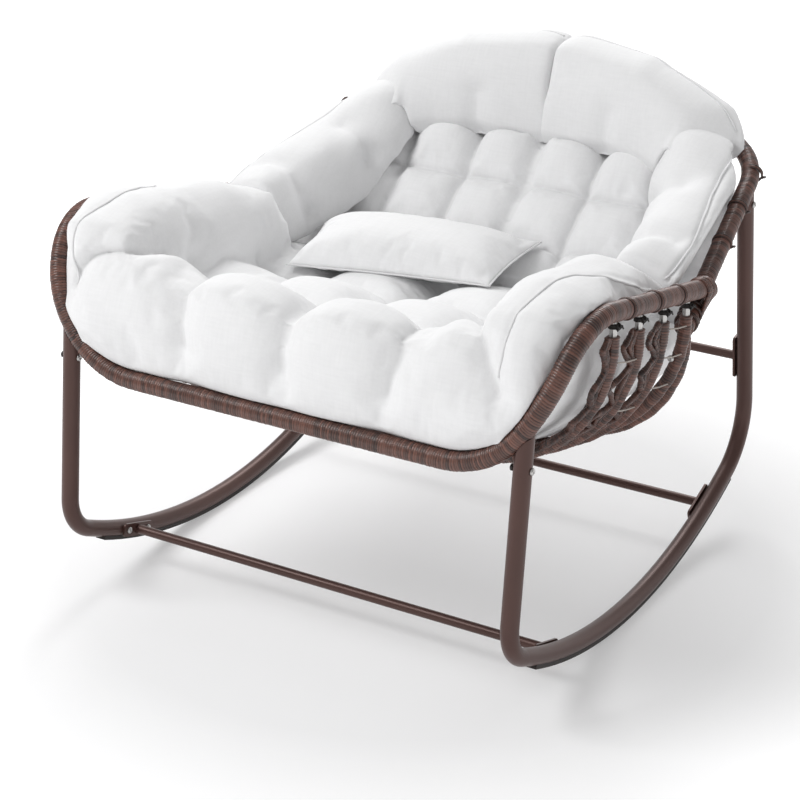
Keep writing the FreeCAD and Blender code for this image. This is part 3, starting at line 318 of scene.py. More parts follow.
def fabric_finish(look):
    """Linen weave: thread slubs along and across, a faint weave relief and soft clouds, and painted shade along
    the deep sewn creases.
    """
    finish = Finish("cushion_fabric")
    warp = finish.noise(230.0, 3.0, (1.0, 0.12, 0.16))
    weft = finish.noise(230.0, 3.0, (0.12, 1.0, 1.0))
    cloud = finish.noise(5.0, 2.0)
    thread = warp * 0.5 + weft * 0.5
    share = (thread * 0.75 + cloud * 0.4 - 0.08).clamped()
    groove = finish.attribute("groove")
    # The groove term darkens the cover as painted shade along the deep creases, the arm joints and the lay of the
    # piping.
    colour = finish.tones((share - groove * 1.6).clamped(), look.fabric, 0.88, 1.06)
    return finish.shade(Base_Color=colour, Roughness=(0.80 + thread * 0.15).clamped(), Sheen_Weight=0.12,
                        Sheen_Roughness=0.5, Specular_IOR_Level=0.25,
                        Normal=finish.bump(thread, 0.16, 0.0011))


def floor_finish(look):
    """Plain pale studio floor with hardly any mottle, which glows more away from the chair, so that the weaker
    glow near the chair paints shade under and round it.
    """
    finish = Finish("studio_floor")
    cloud = finish.noise(1.2, 2.0)
    away = finish.add("ShaderNodeVectorMath", {"operation": "LENGTH"}, {0: finish.place()}, output=1)
    # Painted shade: the glow is weakest within about 0.64 m of the chair's middle and full beyond about 1.19 m.
    far = (away * 1.8 - 1.15).clamped()
    glow = finish.mixed(far, (look.glow,) * 3, (look.glow + 0.36,) * 3)
    return finish.shade(Base_Color=finish.tones(cloud, look.floor, 0.985, 1.01),
                        Roughness=0.9, Specular_IOR_Level=0.1, Emission_Color=glow, Emission_Strength=1.0)


FINISHES = {}


def finish_of(kind):
    """The material of one finish, made when it is first asked for."""
    scene = bpy.context.scene
    makers = {
        "wicker": lambda: wicker_finish(scene.chair_wicker),
        "cord": lambda: cord_finish("lashing_cord", scene.chair_wicker.cord[:]),
        "tie": lambda: cord_finish("thin_tie", scene.chair_wicker.tie[:]),
        "paint": lambda: paint_finish("frame_paint", scene.chair_metal.paint[:], 0.38, 0.35),
        "nut": lambda: paint_finish("dark_nut", scene.chair_metal.nut[:], 0.42, 0.4),
        "zinc": lambda: zinc_finish(scene.chair_metal),
        "strip": lambda: strip_finish(scene.chair_metal),
        "fabric": lambda: fabric_finish(scene.chair_cushion),
        "floor": lambda: floor_finish(scene.chair_stage),
    }
    if kind not in FINISHES:
        FINISHES[kind] = makers[kind]()
    return FINISHES[kind]


# Mesh building

def unit(vector):
    return vector / np.linalg.norm(vector, axis=-1, keepdims=True)


def add_object(name, data):
    piece = bpy.data.objects.new(name, data)
    bpy.context.scene.collection.objects.link(piece)
    return piece


class Pile:
    """Vertices, faces, strand tints and groove marks of one piece, gathered from many tubes; the finishes paint
    shade where the groove marks are high.
    """

    def __init__(self):
        self.points, self.faces, self.tint, self.groove, self.count = [], [], [], [], 0

    def put(self, points, faces, tint=None, groove=None):
        points = np.asarray(points, float).reshape(-1, 3)
        self.points.append(points)
        self.faces += [[index + self.count for index in face] for face in faces]
        self.tint.append(np.full(len(points), 0.5) if tint is None else np.ravel(tint))
        self.groove.append(np.zeros(len(points)) if groove is None else np.ravel(groove))
        self.count += len(points)

    def make(self, name, kind, body, slot, nodes=()):
        """One object in place, which takes its finish, rides on a body and stands for its nodes."""
        mesh = bpy.data.meshes.new(name)
        mesh.from_pydata((np.concatenate(self.points) * MM).tolist(), [], self.faces)
        for label, values in (("tint", self.tint), ("groove", self.groove)):
            mesh.attributes.new(label, "FLOAT", "POINT").data.foreach_set("value", np.concatenate(values))
        mesh.shade_smooth()
        mesh.update()
        piece = add_object(name, mesh)
        settle(piece, kind, body, nodes)
        return piece


def settle(piece, kind, body, nodes=()):
    piece.data.materials.clear()
    piece.data.materials.append(finish_of(kind))
    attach(piece, body)
    if nodes:
        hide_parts(*nodes)


def lengths_along(line):
    """Length of a line up to each of its points."""
    return np.concatenate([[0], np.cumsum(np.linalg.norm(np.diff(line, axis=0), axis=1))])


def evenly(points, step):
    """The same line with points at an even spacing."""
    points = np.asarray(points, float)
    along = lengths_along(points)
    places = np.linspace(0, along[-1], max(2, int(round(along[-1] / step)) + 1))
    return np.stack([np.interp(places, along, points[:, axis]) for axis in range(3)], axis=1)


def bent_line(corners, bends, step):
    """Straight runs through the corners joined by tangent arcs, as the CAD bars have them."""
    corners = [np.array(corner, float) for corner in corners]
    runs = [np.linalg.norm(after - before) for before, after in zip(corners, corners[1:])]
    halves, trims = [], []
    for before, corner, after, bend in zip(corners, corners[1:], corners[2:], bends):
        turn = unit(corner - before) @ unit(after - corner)
        halves.append(math.acos(max(-1.0, min(1.0, turn))) / 2)
        trims.append(bend * math.tan(halves[-1]))
    for index, run in enumerate(runs):
        beside = [bend for bend in (index - 1, index) if 0 <= bend < len(trims)]
        share = min(1.0, 0.98 * run / sum(trims[bend] for bend in beside))
        for bend in beside:
            trims[bend] *= share
    line = [corners[0]]
    for before, corner, after, trim, half in zip(corners, corners[1:], corners[2:], trims, halves):
        back, on = unit(before - corner), unit(after - corner)
        centre = corner + unit(back + on) * trim / math.tan(half) / math.cos(half)
        start, end = corner + back * trim - centre, corner + on * trim - centre
        for share in np.linspace(0, 1, 40):
            arm = math.sin((1 - share) * 2 * half) * start + math.sin(share * 2 * half) * end
            line.append(centre + arm / math.sin(2 * half))
    line.append(corners[-1])
    return evenly(line, step)


def mirrored(points):
    return np.asarray(points, float) * (-1, 1, 1)


def both_halves(right_half):
    """A whole line from its right half, which starts at the middle of the chair or near it."""
    return list(mirrored(right_half)[::-1]) + list(right_half)


def tube_axes(line, closed=False):
    """Two directions across a line that don't twist about it."""
    if closed:
        tangents = unit(np.roll(line, -1, axis=0) - np.roll(line, 1, axis=0))
    else:
        tangents = unit(np.gradient(line, axis=0))
    start = np.array((0.0, 0.0, 1.0)) if abs(tangents[0][2]) < 0.9 else np.array((1.0, 0.0, 0.0))
    normals = np.empty_like(line)
    for index, tangent in enumerate(tangents):
        start = unit(start - (start @ tangent) * tangent)
        normals[index] = start
    return normals, np.cross(tangents, normals)


def tube_points(line, radius, angles, normals, sides):
    """Rings of points about a line, at a radius for every point."""
    return line[:, None] + radius[..., None] * (np.cos(angles)[:, None] * normals[:, None]
                                                + np.sin(angles)[:, None] * sides[:, None])


def tube_faces(rows, around, closed=False):
    faces = []
    for row in range(rows if closed else rows - 1):
        here, there = row * around, (row + 1) % rows * around
        for step in range(around):
            after = (step + 1) % around
            faces.append((here + step, here + after, there + after, there + step))
    if not closed:
        faces.append(tuple(range(around - 1, -1, -1)))
        faces.append(tuple(range((rows - 1) * around, rows * around)))
    return faces


def wind_bar(pile, line, radius, pitch, ridge, around, seed, lumps=0.0, shade=1.0):
    """A bar with a strand wound round it: its surface rises over each turn and dips between turns."""
    random = np.random.default_rng(seed)
    normals, sides = tube_axes(line)
    along = lengths_along(line)
    turns = int(along[-1] / pitch * 1.3) + 8
    edges = np.cumsum(pitch * (0.82 + 0.36 * random.random(turns))) - 3 * pitch
    heights = 1 - 0.45 * random.random(turns) ** 2
    # A shade under 1 darkens the tints; the lacing uses it as painted shade.
    tints = random.random(turns) * shade + (shade - 1) * 0.4
    angles = np.linspace(0, 2 * math.pi, around, endpoint=False)
    wobble = sum(np.sin(along[:, None] * rate + angles * fold + phase) for rate, fold, phase in
                 zip(2 * math.pi / (pitch * (7 + 22 * random.random(4))), (1, 2, 1, 3), random.random(4) * 6.3))
    reach = along[:, None] + pitch * angles / (2 * math.pi) + pitch * 0.25 * wobble / 4
    turn = np.clip(np.searchsorted(edges, reach) - 1, 0, turns - 2)
    share = np.clip((reach - edges[turn]) / (edges[turn + 1] - edges[turn]), 0, 1)
    crest = np.sqrt(np.clip(1 - (2 * share - 1) ** 2, 0, 1))
    size = radius - ridge * (1 - crest * heights[turn]) + lumps * (wobble / 4 - 0.6)
    points = tube_points(line, size, angles, normals, sides)
    # The last values mark the grooves between turns, where the wicker finish paints shade.
    pile.put(points, tube_faces(len(line), around), tints[turn], 1 - crest * (0.5 + 0.5 * heights[turn]))


def lay_cord(pile, line, radius, around=8, closed=False, lay=3.0, tint=0.5):
    """A twisted cord along a line."""
    line = np.asarray(line, float)
    normals, sides = tube_axes(line, closed)
    along = lengths_along(line)
    angles = np.linspace(0, 2 * math.pi, around, endpoint=False)
    twist = np.cos(3 * angles + along[:, None] * 2 * math.pi / (lay * radius * 2))
    size = radius * (1 + 0.10 * twist)
    points = tube_points(line, size, angles, normals, sides)
    # The last values mark the lay between the strands; the finishes darken it there as painted shade.
    pile.put(points, tube_faces(len(line), around, closed), np.full(size.shape, tint), 0.5 - 0.5 * twist)


def ring(centre, axis, radius, count):
    """A closed circle of points about an axis."""
    axis = unit(np.array(axis, float))
    across = unit(np.cross(axis, (0.0, 0.0, 1.0) if abs(axis[2]) < 0.9 else (1.0, 0.0, 0.0)))
    other = np.cross(axis, across)
    angles = np.linspace(0, 2 * math.pi, count, endpoint=False)[:, None]
    return np.array(centre, float) + radius * (np.cos(angles) * across + np.sin(angles) * other)


def line_at(line, share):
    """Point and direction part of the way along an even line."""
    index = int(round(share * (len(line) - 1)))
    index = max(1, min(len(line) - 2, index))
    return line[index], unit(line[index + 1] - line[index - 1])


def rail_line(step):
    return bent_line(both_halves(RAIL_CORNERS), RAIL_BENDS[::-1] + RAIL_BENDS, step)


def hoop_line(step):
    half = HOOP_CORNERS[1:]
    return bent_line([*mirrored(half)[::-1], HOOP_CORNERS[0], *half], HOOP_BENDS, step)


def bow_line(name, step):
    reach, span, top, floor = BOWS[name]
    corners = [(-span, reach, top), (-span, reach, floor), (span, reach, floor), (span, reach, top)]
    return bent_line(corners, (BOW_BEND, BOW_BEND), step)


# Straight runs of the right arm of the rail and the right side of the hoop, from the front.
ARM_RUN = np.array(RAIL_CORNERS[2:], float)
HOOP_RUN = np.array(HOOP_CORNERS[:0:-1], float)


def over(run, reach):
    """Point of a straight run at a depth."""
    start, end = run
    return start + (end - start) * (reach - start[1]) / (end[1] - start[1])


# Wicker wrapped bars

class CHAIR_OT_rail_and_hoop(bpy.types.Operator):
    """Wind the seat rail and the back hoop with wicker"""
    bl_idname = "chair.rail_and_hoop"
    bl_label = "Seat rail and back hoop"

    def execute(self, context):
        look = context.scene.chair_wicker
        pitch, ridge = look.rail_pitch / MM, look.ridge / MM
        for name, node, line, seed in (("wicker_seat_rail", "seat_rail", rail_line(BAR_STEP), 11),
                                       ("wicker_back_hoop", "back_hoop", hoop_line(BAR_STEP), 12)):
            pile = Pile()
            wind_bar(pile, line, WRAP_RADIUS, pitch, ridge, 20, seed)
            pile.make(name, "wicker", "chair", "wicker", (node,))
        return {"FINISHED"}


class CHAIR_OT_bows(bpy.types.Operator):
    """Wind the bows under the seat, and lace canes in front of the first three"""
    bl_idname = "chair.bows"
    bl_label = "Bows and lacing"

    def execute(self, context):
        look = context.scene.chair_wicker
        pitch, ridge = look.bow_pitch / MM, look.ridge / MM
        for index, name in enumerate(BOWS):
            pile = Pile()
            wind_bar(pile, bow_line(name, 1.0), BOW_RADIUS, pitch, ridge * 1.1, 16, 20 + index, lumps=1.0)
            pile.make(f"wicker_{name}", "wicker", "chair", "wicker", (name,))
        self.lace(pitch, ridge)
        return {"FINISHED"}

    def lace(self, pitch, ridge):
        """Canes that swing from the first three bows toward the bow in front and back, in the bows' own sheet."""
        pile = Pile()
        random = np.random.default_rng(31)
        lines = [bow_line(name, 2.0) for name in list(BOWS)[:3]]
        for index, here in enumerate(lines):
            other = lines[index - 1] if index else lines[1]
            shares = np.linspace(0, 1, len(here))
            other = np.stack([np.interp(shares, np.linspace(0, 1, len(other)), other[:, axis])
                              for axis in range(3)], axis=1)
            toward = (other - here) if index else (here - other)
            bends = np.cumsum(random.uniform(24, 42, LACE_BENDS)) - random.uniform(0, 40)
            for cane, (near, far) in enumerate(LACE_CANES):
                far = far if index or cane else LACE_FIRST_SWING
                swings = np.where(np.arange(LACE_BENDS) % 2, far * random.uniform(0.7, 1.15, LACE_BENDS), near)
                share = np.interp(shares * 2.0 * len(here), bends, swings) / BOW_SPACING
                path = eased(evenly(here + toward * share[:, None], 1.4), 4)
                # The lacing's tints are darker than the bows' (shade 0.75): painted shade for the shadow that the
                # rail and the cushion cast on it.
                wind_bar(pile, path, LACE_RADIUS, pitch * 0.8, ridge * 1.4, 10, 40 + index + 10 * cane,
                         lumps=2.0, shade=0.75)
        pile.make("bow_lacing", "wicker", "chair", "wicker")


class CHAIR_OT_ribs(bpy.types.Operator):
    """Wind the ribs of the back"""
    bl_idname = "chair.ribs"
    bl_label = "Back ribs"

    def execute(self, context):
        look = context.scene.chair_wicker
        hoop = hoop_line(1.0)
        for index in range(5):
            across = (index - 2) * RIB_SPACING
            rear = hoop[hoop[:, 1] > 400]
            end = rear[np.argmin(np.abs(rear[:, 0] - across))]
            corners = [(across, 69.3, 288), (across, 235, 288), (across, 545, 560), (across, end[1], end[2])]
            line = bent_line(corners, (200, 150), 1.2)
            pile = Pile()
            wind_bar(pile, line[:-12], RIB_RADIUS, look.bow_pitch / MM, look.ridge / MM, 12, 60 + index, 0.6)
            pile.make(f"wicker_back_rib_{index + 1}", "wicker", "chair", "wicker", (f"back_rib_{index + 1}",))
        return {"FINISHED"}


class CHAIR_OT_lashings(bpy.types.Operator):
    """Tie the bows, the bands and the arm joints with cord"""
    bl_idname = "chair.lashings"
    bl_label = "Lashings, bands and ties"

    def execute(self, context):
        self.bow_tops()
        self.bands()
        self.arm_joints()
        self.ties()
        return {"FINISHED"}

    def bow_tops(self):
        """Black cord wound round the bare rod under the rail, knotted in front, its ends cut short."""
        pile = Pile()
        for name in list(BOWS)[:4]:
            reach, _, top, _ = BOWS[name]
            bar = over(ARM_RUN, reach)
            for side in (-1, 1):
                spin = np.linspace(0, 2 * math.pi * 3.6, 74)
                rise = np.interp(spin, (0, spin[-1]), (top + 14.0, top + 22.5))
                coil = np.stack([side * bar[0] + 7.4 * np.cos(spin), bar[1] + 7.4 * np.sin(spin), rise], 1)
                lay_cord(pile, coil, 1.5)
                for shift, lean in ((-4.5, 0.3), (0.5, -0.2), (5.0, 0.15)):
                    loop = ring((side * (bar[0] + 8.0), bar[1] + shift, top + 17.5 + 4 * lean),
                                (0.5 * side, 1.0, lean * 3), 3.9, 16)
                    lay_cord(pile, loop, 1.5, closed=True)
                for away, drop in ((-1, 3), (1, 5)):
                    start = np.array((side * (bar[0] + 9.5), bar[1] + away * 3.5, top + 17.0))
                    tail = [start, start + (side * 2.0, away * 3.5, 1.5), start + (side * 2.5, away * 6.5, -drop)]
                    lay_cord(pile, evenly(tail, 1.5), 1.2)
        pile.make("bow_lashing_cords", "cord", "chair", "dark_cord", ("bow_lashings",))

    def bands(self):
        """Turns of strand that bind the wrap of the arms and the hoop, with a cut end on the hoop."""
        pile = Pile()
        places = [(over(run, reach), run[1] - run[0])
                  for run, reaches in ((ARM_RUN, (-222.0, -116.0, -20.0)), (HOOP_RUN, (257.0, 347.0, 440.0)))
                  for reach in reaches]
        for side in (-1, 1):
            for index, (centre, axis) in enumerate(places):
                flip = np.array((side, 1, 1))
                axis = unit(axis)
                for shift, thick, tint in ((-3.4, 1.0, 0.0), (0.0, 1.6, 1.0), (3.4, 1.5, 0.0)):
                    lay_cord(pile, ring((centre + axis * shift) * flip, axis * flip, WRAP_RADIUS + 0.3, 30), thick,
                             closed=True, tint=tint)
                if index > 2:
                    nub = centre + np.array((0.94, 0.2, -0.28)) * (WRAP_RADIUS + 1)
                    ends = [nub - axis * 3, nub + (2.5, 2, 0), nub + (3.5, 6, -1), nub + (0.5, 9, -3)]
                    lay_cord(pile, evenly(np.array(ends) * flip, 1.2), 2.2, tint=0.1)
        pile.make("binding_bands", "wicker", "chair", "wicker")

    def arm_joints(self):
        """Strands wound round the rear end of each arm and the hoop under it."""
        pile = Pile()
        random = np.random.default_rng(5)
        for side in (-1, 1):
            for index in range(9):
                reach = 78.0 + index * 4.4
                arm, hoop = over(ARM_RUN, reach), over(HOOP_RUN, reach + 10)
                lean = random.uniform(-4, 4)
                half = np.linspace(-math.pi / 2, math.pi / 2, 10)
                apart = unit(arm - hoop)
                out = np.cross((0.0, 1.0, 0.0), apart)
                size = WRAP_RADIUS + 2.0 + random.uniform(-0.4, 1.6)
                upper = [arm + size * (math.cos(turn) * apart + math.sin(turn) * out) for turn in half]
                lower = [hoop + size * (-math.cos(turn) * apart - math.sin(turn) * out) for turn in half]
                loop = np.array(upper + lower)
                loop[:, 1] += np.linspace(-lean, lean, len(loop)) * np.sin(np.linspace(0, math.pi, len(loop)))
                closed = np.vstack([loop, loop[:1]])
                wind_bar(pile, evenly(closed * (side, 1, 1), 1.4), 3.0, 2.2, 0.6, 8, 80 + index)
            for index in range(4):
                centre = over(HOOP_RUN, 60.0 + index * 11)
                axis = unit(HOOP_RUN[1] - HOOP_RUN[0])
                axis = unit(axis + random.uniform(-0.2, 0.2, 3))
                loop = ring(centre * (side, 1, 1), axis * (side, 1, 1), WRAP_RADIUS + 1.5, 30)
                lay_cord(pile, loop, 2.8, closed=True, tint=0.3)
        pile.make("arm_joint_lashings", "wicker", "chair", "wicker")

    def ties(self):
        """Thin pale ties between neighbouring bows, and dark knots under the bows."""
        pale, knots = Pile(), Pile()
        names = list(BOWS)
        lines = {name: bow_line(name, 2.0) for name in names}
        for first, second, share in (("seat_bow_1", "seat_bow_2", 0.035), ("seat_bow_2", "seat_bow_3", 0.125),
                                     ("seat_bow_3", "seat_bow_4", 0.010), ("seat_bow_3", "seat_bow_4", 0.050),
                                     ("seat_bow_3", "seat_bow_4", 0.098)):
            for side in (share, 1 - share):
                start, _ = line_at(lines[first], side)
                end, _ = line_at(lines[second], side)
                outward = np.sign(start[0]) * np.array((1.0, 0.0, 0.0))
                start, end = start + outward * 10 + (0, 5, 0), end + outward * 6 + (0, -10.5, -2)
                middle = (start + end) / 2 - (0, 0, 1.5)
                lay_cord(pale, evenly([start, middle, end], 3.0), 1.3)
        for name, share in (("seat_bow_1", 0.30), ("seat_bow_2", 0.305), ("seat_bow_3", 0.31)):
            for side in (share, 1 - share):
                centre, axis = line_at(lines[name], side)
                for shift in (-4.5, 0.0, 4.5):
                    lay_cord(knots, ring(centre + axis * shift, axis, BOW_RADIUS + 1.2, 24), 2.6, closed=True)
        pale.make("bow_ties", "tie", "chair", "dark_cord")
        knots.make("bow_knots", "cord", "chair", "dark_cord")


# Painted metal and fasteners

class CHAIR_OT_metal(bpy.types.Operator):
    """Paint the tube frame, the crossbars and the rocker strips"""
    bl_idname = "chair.metal"
    bl_label = "Painted frame"

    def execute(self, context):
        kinds = {"rocker_strip": "strip", "bow_rods": "zinc", "section_spacers": "zinc", "arm_caps": "wicker"}
        for name, node in frame["nodes"].items():
            if name.startswith(("side_frame", "crossbar", "rocker_strip", "front_spigots", "rear_spigots",
                                "bow_rods", "section_spacers", "arm_caps", "arm_stubs")):
                kind = next((kinds[key] for key in kinds if name.startswith(key)), "paint")
                node.data.materials.clear()
                node.data.materials.append(finish_of(kind))
        return {"FINISHED"}


HEAD_PROFILE = ((6.0, 0.0), (6.0, 1.0), (5.75, 1.9), (5.1, 2.9), (4.1, 3.6), (3.1, 3.95))


def put_rings(pile, rings, place, tip):
    """Rows of points, each a closed ring, moved into place and closed at both ends."""
    around = len(rings[0])
    points = [Vector(point) for row in rings for point in row] + [Vector(tip)]
    placed = [place @ point for point in points]
    faces = tube_faces(len(rings), around)[:-1]
    last = (len(rings) - 1) * around
    faces += [(last + step, last + (step + 1) % around, len(points) - 1) for step in range(around)]
    pile.put([tuple(point) for point in placed], faces)


def circle_row(radius, height, count=24):
    return [(radius * math.cos(2 * math.pi * step / count), radius * math.sin(2 * math.pi * step / count), height)
            for step in range(count)]


def hex_row(flat, height, count=24):
    """A row of points round a hexagon of a given distance across its flats."""
    row = []
    for step in range(count):
        angle = 2 * math.pi * step / count
        radius = flat / 2 / math.cos((angle % (math.pi / 3)) - math.pi / 6)
        row.append((radius * math.cos(angle), radius * math.sin(angle), height))
    return row


def put_bolt(pile, place, shank):
    """Button head with a hexagon socket, and a shank under it."""
    rows = [circle_row(3.0, -shank), circle_row(3.0, -0.01)]
    rows += [circle_row(radius, height) for radius, height in HEAD_PROFILE]
    rows += [hex_row(4.4, 4.0), hex_row(4.2, 1.9)]
    put_rings(pile, rows, place, (0, 0, 1.8))


def put_cap_nut(pile, place, height):
    """Hexagon nut with a domed cap."""
    rows = [hex_row(10.6, 0.0), hex_row(11.2, 0.5), hex_row(11.2, height * 0.6), circle_row(5.3, height * 0.68)]
    rows += [circle_row(5.3 * math.cos(turn), height * 0.68 + height * 0.32 * math.sin(turn))
             for turn in (0.4, 0.8, 1.2)]
    put_rings(pile, rows, place, (0, 0, height))


def facing(place, direction):
    """A placement whose Z looks along a direction, in millimetres."""
    turn = Vector((0, 0, 1)).rotation_difference(Vector(direction)).to_matrix().to_4x4()
    return Matrix.Translation(Vector(place)) @ turn


class CHAIR_OT_fasteners(bpy.types.Operator):
    """Set the plated bolts and the dark nuts"""
    bl_idname = "chair.fasteners"
    bl_label = "Bolts and nuts"

    def execute(self, context):
        posts, nuts = Pile(), Pile()
        for side in (-1, 1):
            for reach, height in POST_BOLTS:
                put_bolt(posts, facing((side * POST_MIDDLE + POST_RADIUS, reach, height), (1, 0, 0)), 34)
                put_cap_nut(nuts, facing((side * POST_MIDDLE - POST_RADIUS, reach, height), (-1, 0, 0)), 6)
        posts.make("plated_post_bolts", "zinc", "chair", "zinc_steel", ("post_bolts",))
        nuts.make("dark_post_nuts", "nut", "chair", "dark_nuts", ("post_nuts",))
        sections, backs = Pile(), Pile()
        for side in (-1, 1):
            for across, height in SECTION_BOLTS:
                put_bolt(sections, facing((side * across, SECTION_ENDS[0], height), (0, -1, 0)), 57)
                put_cap_nut(backs, facing((side * across, SECTION_ENDS[1], height), (0, 1, 0)), 6)
        sections.make("plated_section_bolts", "zinc", "chair", "zinc_steel", ("section_bolts",))
        backs.make("dark_section_nuts", "nut", "chair", "dark_nuts", ("section_nuts",))
        plates = Pile()
        for side in (-1, 1):
            for centre, along in self.plates():
                for way in (-PLATE_BOLT, PLATE_BOLT):
                    spot = centre + along * way
                    put_bolt(plates, facing((side * PLATE_FACE, spot[0], spot[1]), (-side, 0, 0)), 14)
        plates.make("plated_crossbar_bolts", "zinc", "chair", "zinc_steel", ("crossbar_bolts",))
        return {"FINISHED"}

    def plates(self):
        """Middle and long direction of the end plates, in depth and height."""
        places = []
        for sign in (-1, 1):
            turn = sign * math.asin(CROSSBAR_REACH / ROCKER_RADIUS)
            depth, drop = ROCKER_RADIUS * math.sin(turn), ROCKER_RADIUS * math.cos(turn)
            places.append((np.array((depth, ROCKER_CENTRE - drop)), np.array((math.cos(turn), math.sin(turn)))))
        climb = (UPPER_PLATE - POST_BOLTS[1][1]) / math.cos(REAR_LEAN)
        up = np.array((-math.sin(REAR_LEAN), math.cos(REAR_LEAN)))
        places.append((np.array(POST_BOLTS[1]) + up * climb, up))
        return places


# Cushions

# Piece, its nodes, voxel in millimetres and rounds of smoothing.
PADS = (
    ("cushion_seat", ("seat_pad", "arm_bolster_left", "arm_bolster_right"), 7.5, 40),
    ("cushion_back", ("back_pad",), 7.0, 16),
    ("cushion_wing_left", ("side_wing_left",), 6.5, 90), ("cushion_wing_right", ("side_wing_right",), 6.5, 90),
    ("cushion_head_left", ("headrest_left",), 6.5, 80), ("cushion_head_right", ("headrest_right",), 6.5, 80),
)


def back_height(reach):
    """Height of the tufted back's sewn face at a depth."""
    share = np.clip((np.asarray(reach, float) - 190.4) / 309.6, 0, 1)
    return 455 + 247 * share ** 1.15


def back_crease(points):
    """Points of a crease on the back, from across and depth."""
    return [(across, reach, float(back_height(reach)) + 12) for across, reach in points]


# A line sewn less deep than this makes a soft fold, and a deeper one a sharp crease.
SOFT_FOLD = 17.0


def creases_of(piece):
    """Sewn lines of a pad: depth, reach to each side and the points that they run through."""
    if piece == "cushion_back":
        rows = [(depth, 50.0, back_crease([(-330, reach), (-130, reach - 4), (0, reach), (130, reach - 4),
                                           (330, reach)]))
                for reach, depth in ((280, 27.0), (371, 27.0), (452, 30.0))]
        columns = [(34.0, 62.0, back_crease([(across, reach) for reach in (205, 280, 371, 470)]))
                   for across in (-260, -130, 0, 130, 260)]
        return rows + columns
    if piece == "cushion_seat":
        front_to_back = ((-452, 520), (-446, 575), (-415, 616), (-330, 600), (-150, 555), (26, 510), (180, 462))
        columns = [(24.0, 80.0, [(across, *spot) for spot in front_to_back]) for across in (-192, 0, 192)]
        rows = [(18.0, 75.0, [(-285, reach, height), (0, reach, height), (285, reach, height)])
                for reach, height in ((-255, 590), (-62, 535))]
        fold = [(9.0, 40.0, [(across, -450, 552 + 0.05 * abs(across)) for across in (205, 290, 385)])]
        return columns + rows + fold
    side = -1 if piece.endswith("left") else 1
    if "wing" in piece:
        lines = [(16.0, 62.0, [(425, 120, 662), (382, 128, 654), (329, 122, 613), (300, 143, 555)]),
                 (13.0, 62.0, [(350, 300, 672), (318, 300, 648), (290, 303, 618)])]
    else:
        lines = [(11.0, 60.0, [(132, 412, 660), (134, 425, 705), (138, 436, 735)])]
    return [(depth, reach, mirrored(points) if side < 0 else points) for depth, reach, points in lines]


def seams_of(piece):
    """Lines sewn after a pad has its shape, as creases_of gives them."""
    if piece == "cushion_seat":
        return [(5.0, 14.0, arm_seam(side)) for side in (-1, 1)] + [(26.0, 46.0, joint) for joint in ARM_JOINTS]
    if piece == "cushion_back":
        return []
    seam = WING_SEAM if "wing" in piece else HEAD_SEAM
    return [(5.0, 14.0, mirrored(seam) if piece.endswith("left") else seam)]


# Pinched points of the pads on the right: pad, place, depth and reach.
TUFTS = [("cushion_back", (across, reach, float(back_height(reach)) + 8), 12.0, 34.0)
         for across in (0, 130, 260) for reach in (280, 371, 452)]
TUFTS += [("cushion_seat", (across, reach, height), 12.0, 45.0)
          for across in (0, 192) for reach, height in ((-255, 575), (-62, 520))]
TUFTS += [("cushion_wing", (294, 303, 622), 14.0, 48.0), ("cushion_wing", (305, 143, 555), 14.0, 48.0)]

# Soft pushes that shape the pads on the right: pad, place, push and reach.
GRABS = (
    ("cushion_wing", (345, 412, 705), (-26, -8, 26), (105, 105, 115)),
    ("cushion_wing", (425, 430, 650), (12, 4, 0), (80, 110, 90)),
    ("cushion_wing", (305, 400, 685), (-14, 16, 10), (80, 80, 80)),
    ("cushion_wing", (452, 40, 645), (0, 0, -22), (90, 90, 120)),
    ("cushion_wing", (290, 340, 640), (-26, 0, 10), (85, 130, 80)),
    ("cushion_seat", (452, 0, 645), (0, 0, -30), (100, 190, 120)),
    ("cushion_seat", (350, 20, 635), (0, -20, -8), (130, 130, 120)),
    ("cushion_seat", (456, -335, 668), (14, -6, 2), (95, 170, 100)),
    ("cushion_seat", (415, -180, 680), (0, 0, -14), (90, 130, 80)),
    ("cushion_seat", (268, -425, 640), (34, 14, 0), (170, 160, 160)),
    ("cushion_seat", (325, -390, 668), (6, 0, -16), (110, 130, 90)),
    ("cushion_seat", (292, -375, 618), (0, 0, 24), (115, 130, 85)),
    ("cushion_seat", (446, -420, 590), (22, -8, 0), (85, 80, 120)),
    ("cushion_seat", (0, -445, 465), (0, -4, -20), (420, 80, 70)),
    ("cushion_seat", (405, -440, 500), (16, -14, -10), (150, 90, 120)),
    ("cushion_seat", (290, -432, 470), (0, 2, -13), (140, 70, 60)),
    ("cushion_head", (20, 440, 690), (-12, 0, 0), (60, 90, 90)),
    ("cushion_head_left", (345, 470, 740), (4, 0, 5), (90, 120, 100)),
    ("cushion_head_left", (250, 500, 790), (0, 0, 8), (110, 100, 80)),
    ("cushion_head_right", (355, 480, 735), (14, 0, -10), (100, 120, 110)),
    ("cushion_head", (130, 425, 650), (0, 16, 0), (330, 70, 40)),
    ("cushion_back", (65, 415, 668), (0, -4, 20), (90, 60, 60)),
    ("cushion_back", (195, 410, 660), (0, -4, 20), (90, 60, 60)),
)


# Where each arm's front and inner face meet the seat: left, then right, from the front.
ARM_JOINTS = (
    ((-424, -437, 576), (-420, -433, 596), (-403, -430, 618), (-386, -426, 634), (-363, -418, 646),
     (-330, -402, 652), (-310, -356, 641), (-306, -320, 622)),
    ((382, -443, 560), (376, -440, 570), (365, -434, 588), (354, -427, 605), (346, -421, 622),
     (334, -405, 634), (318, -370, 634), (308, -330, 618)),
)

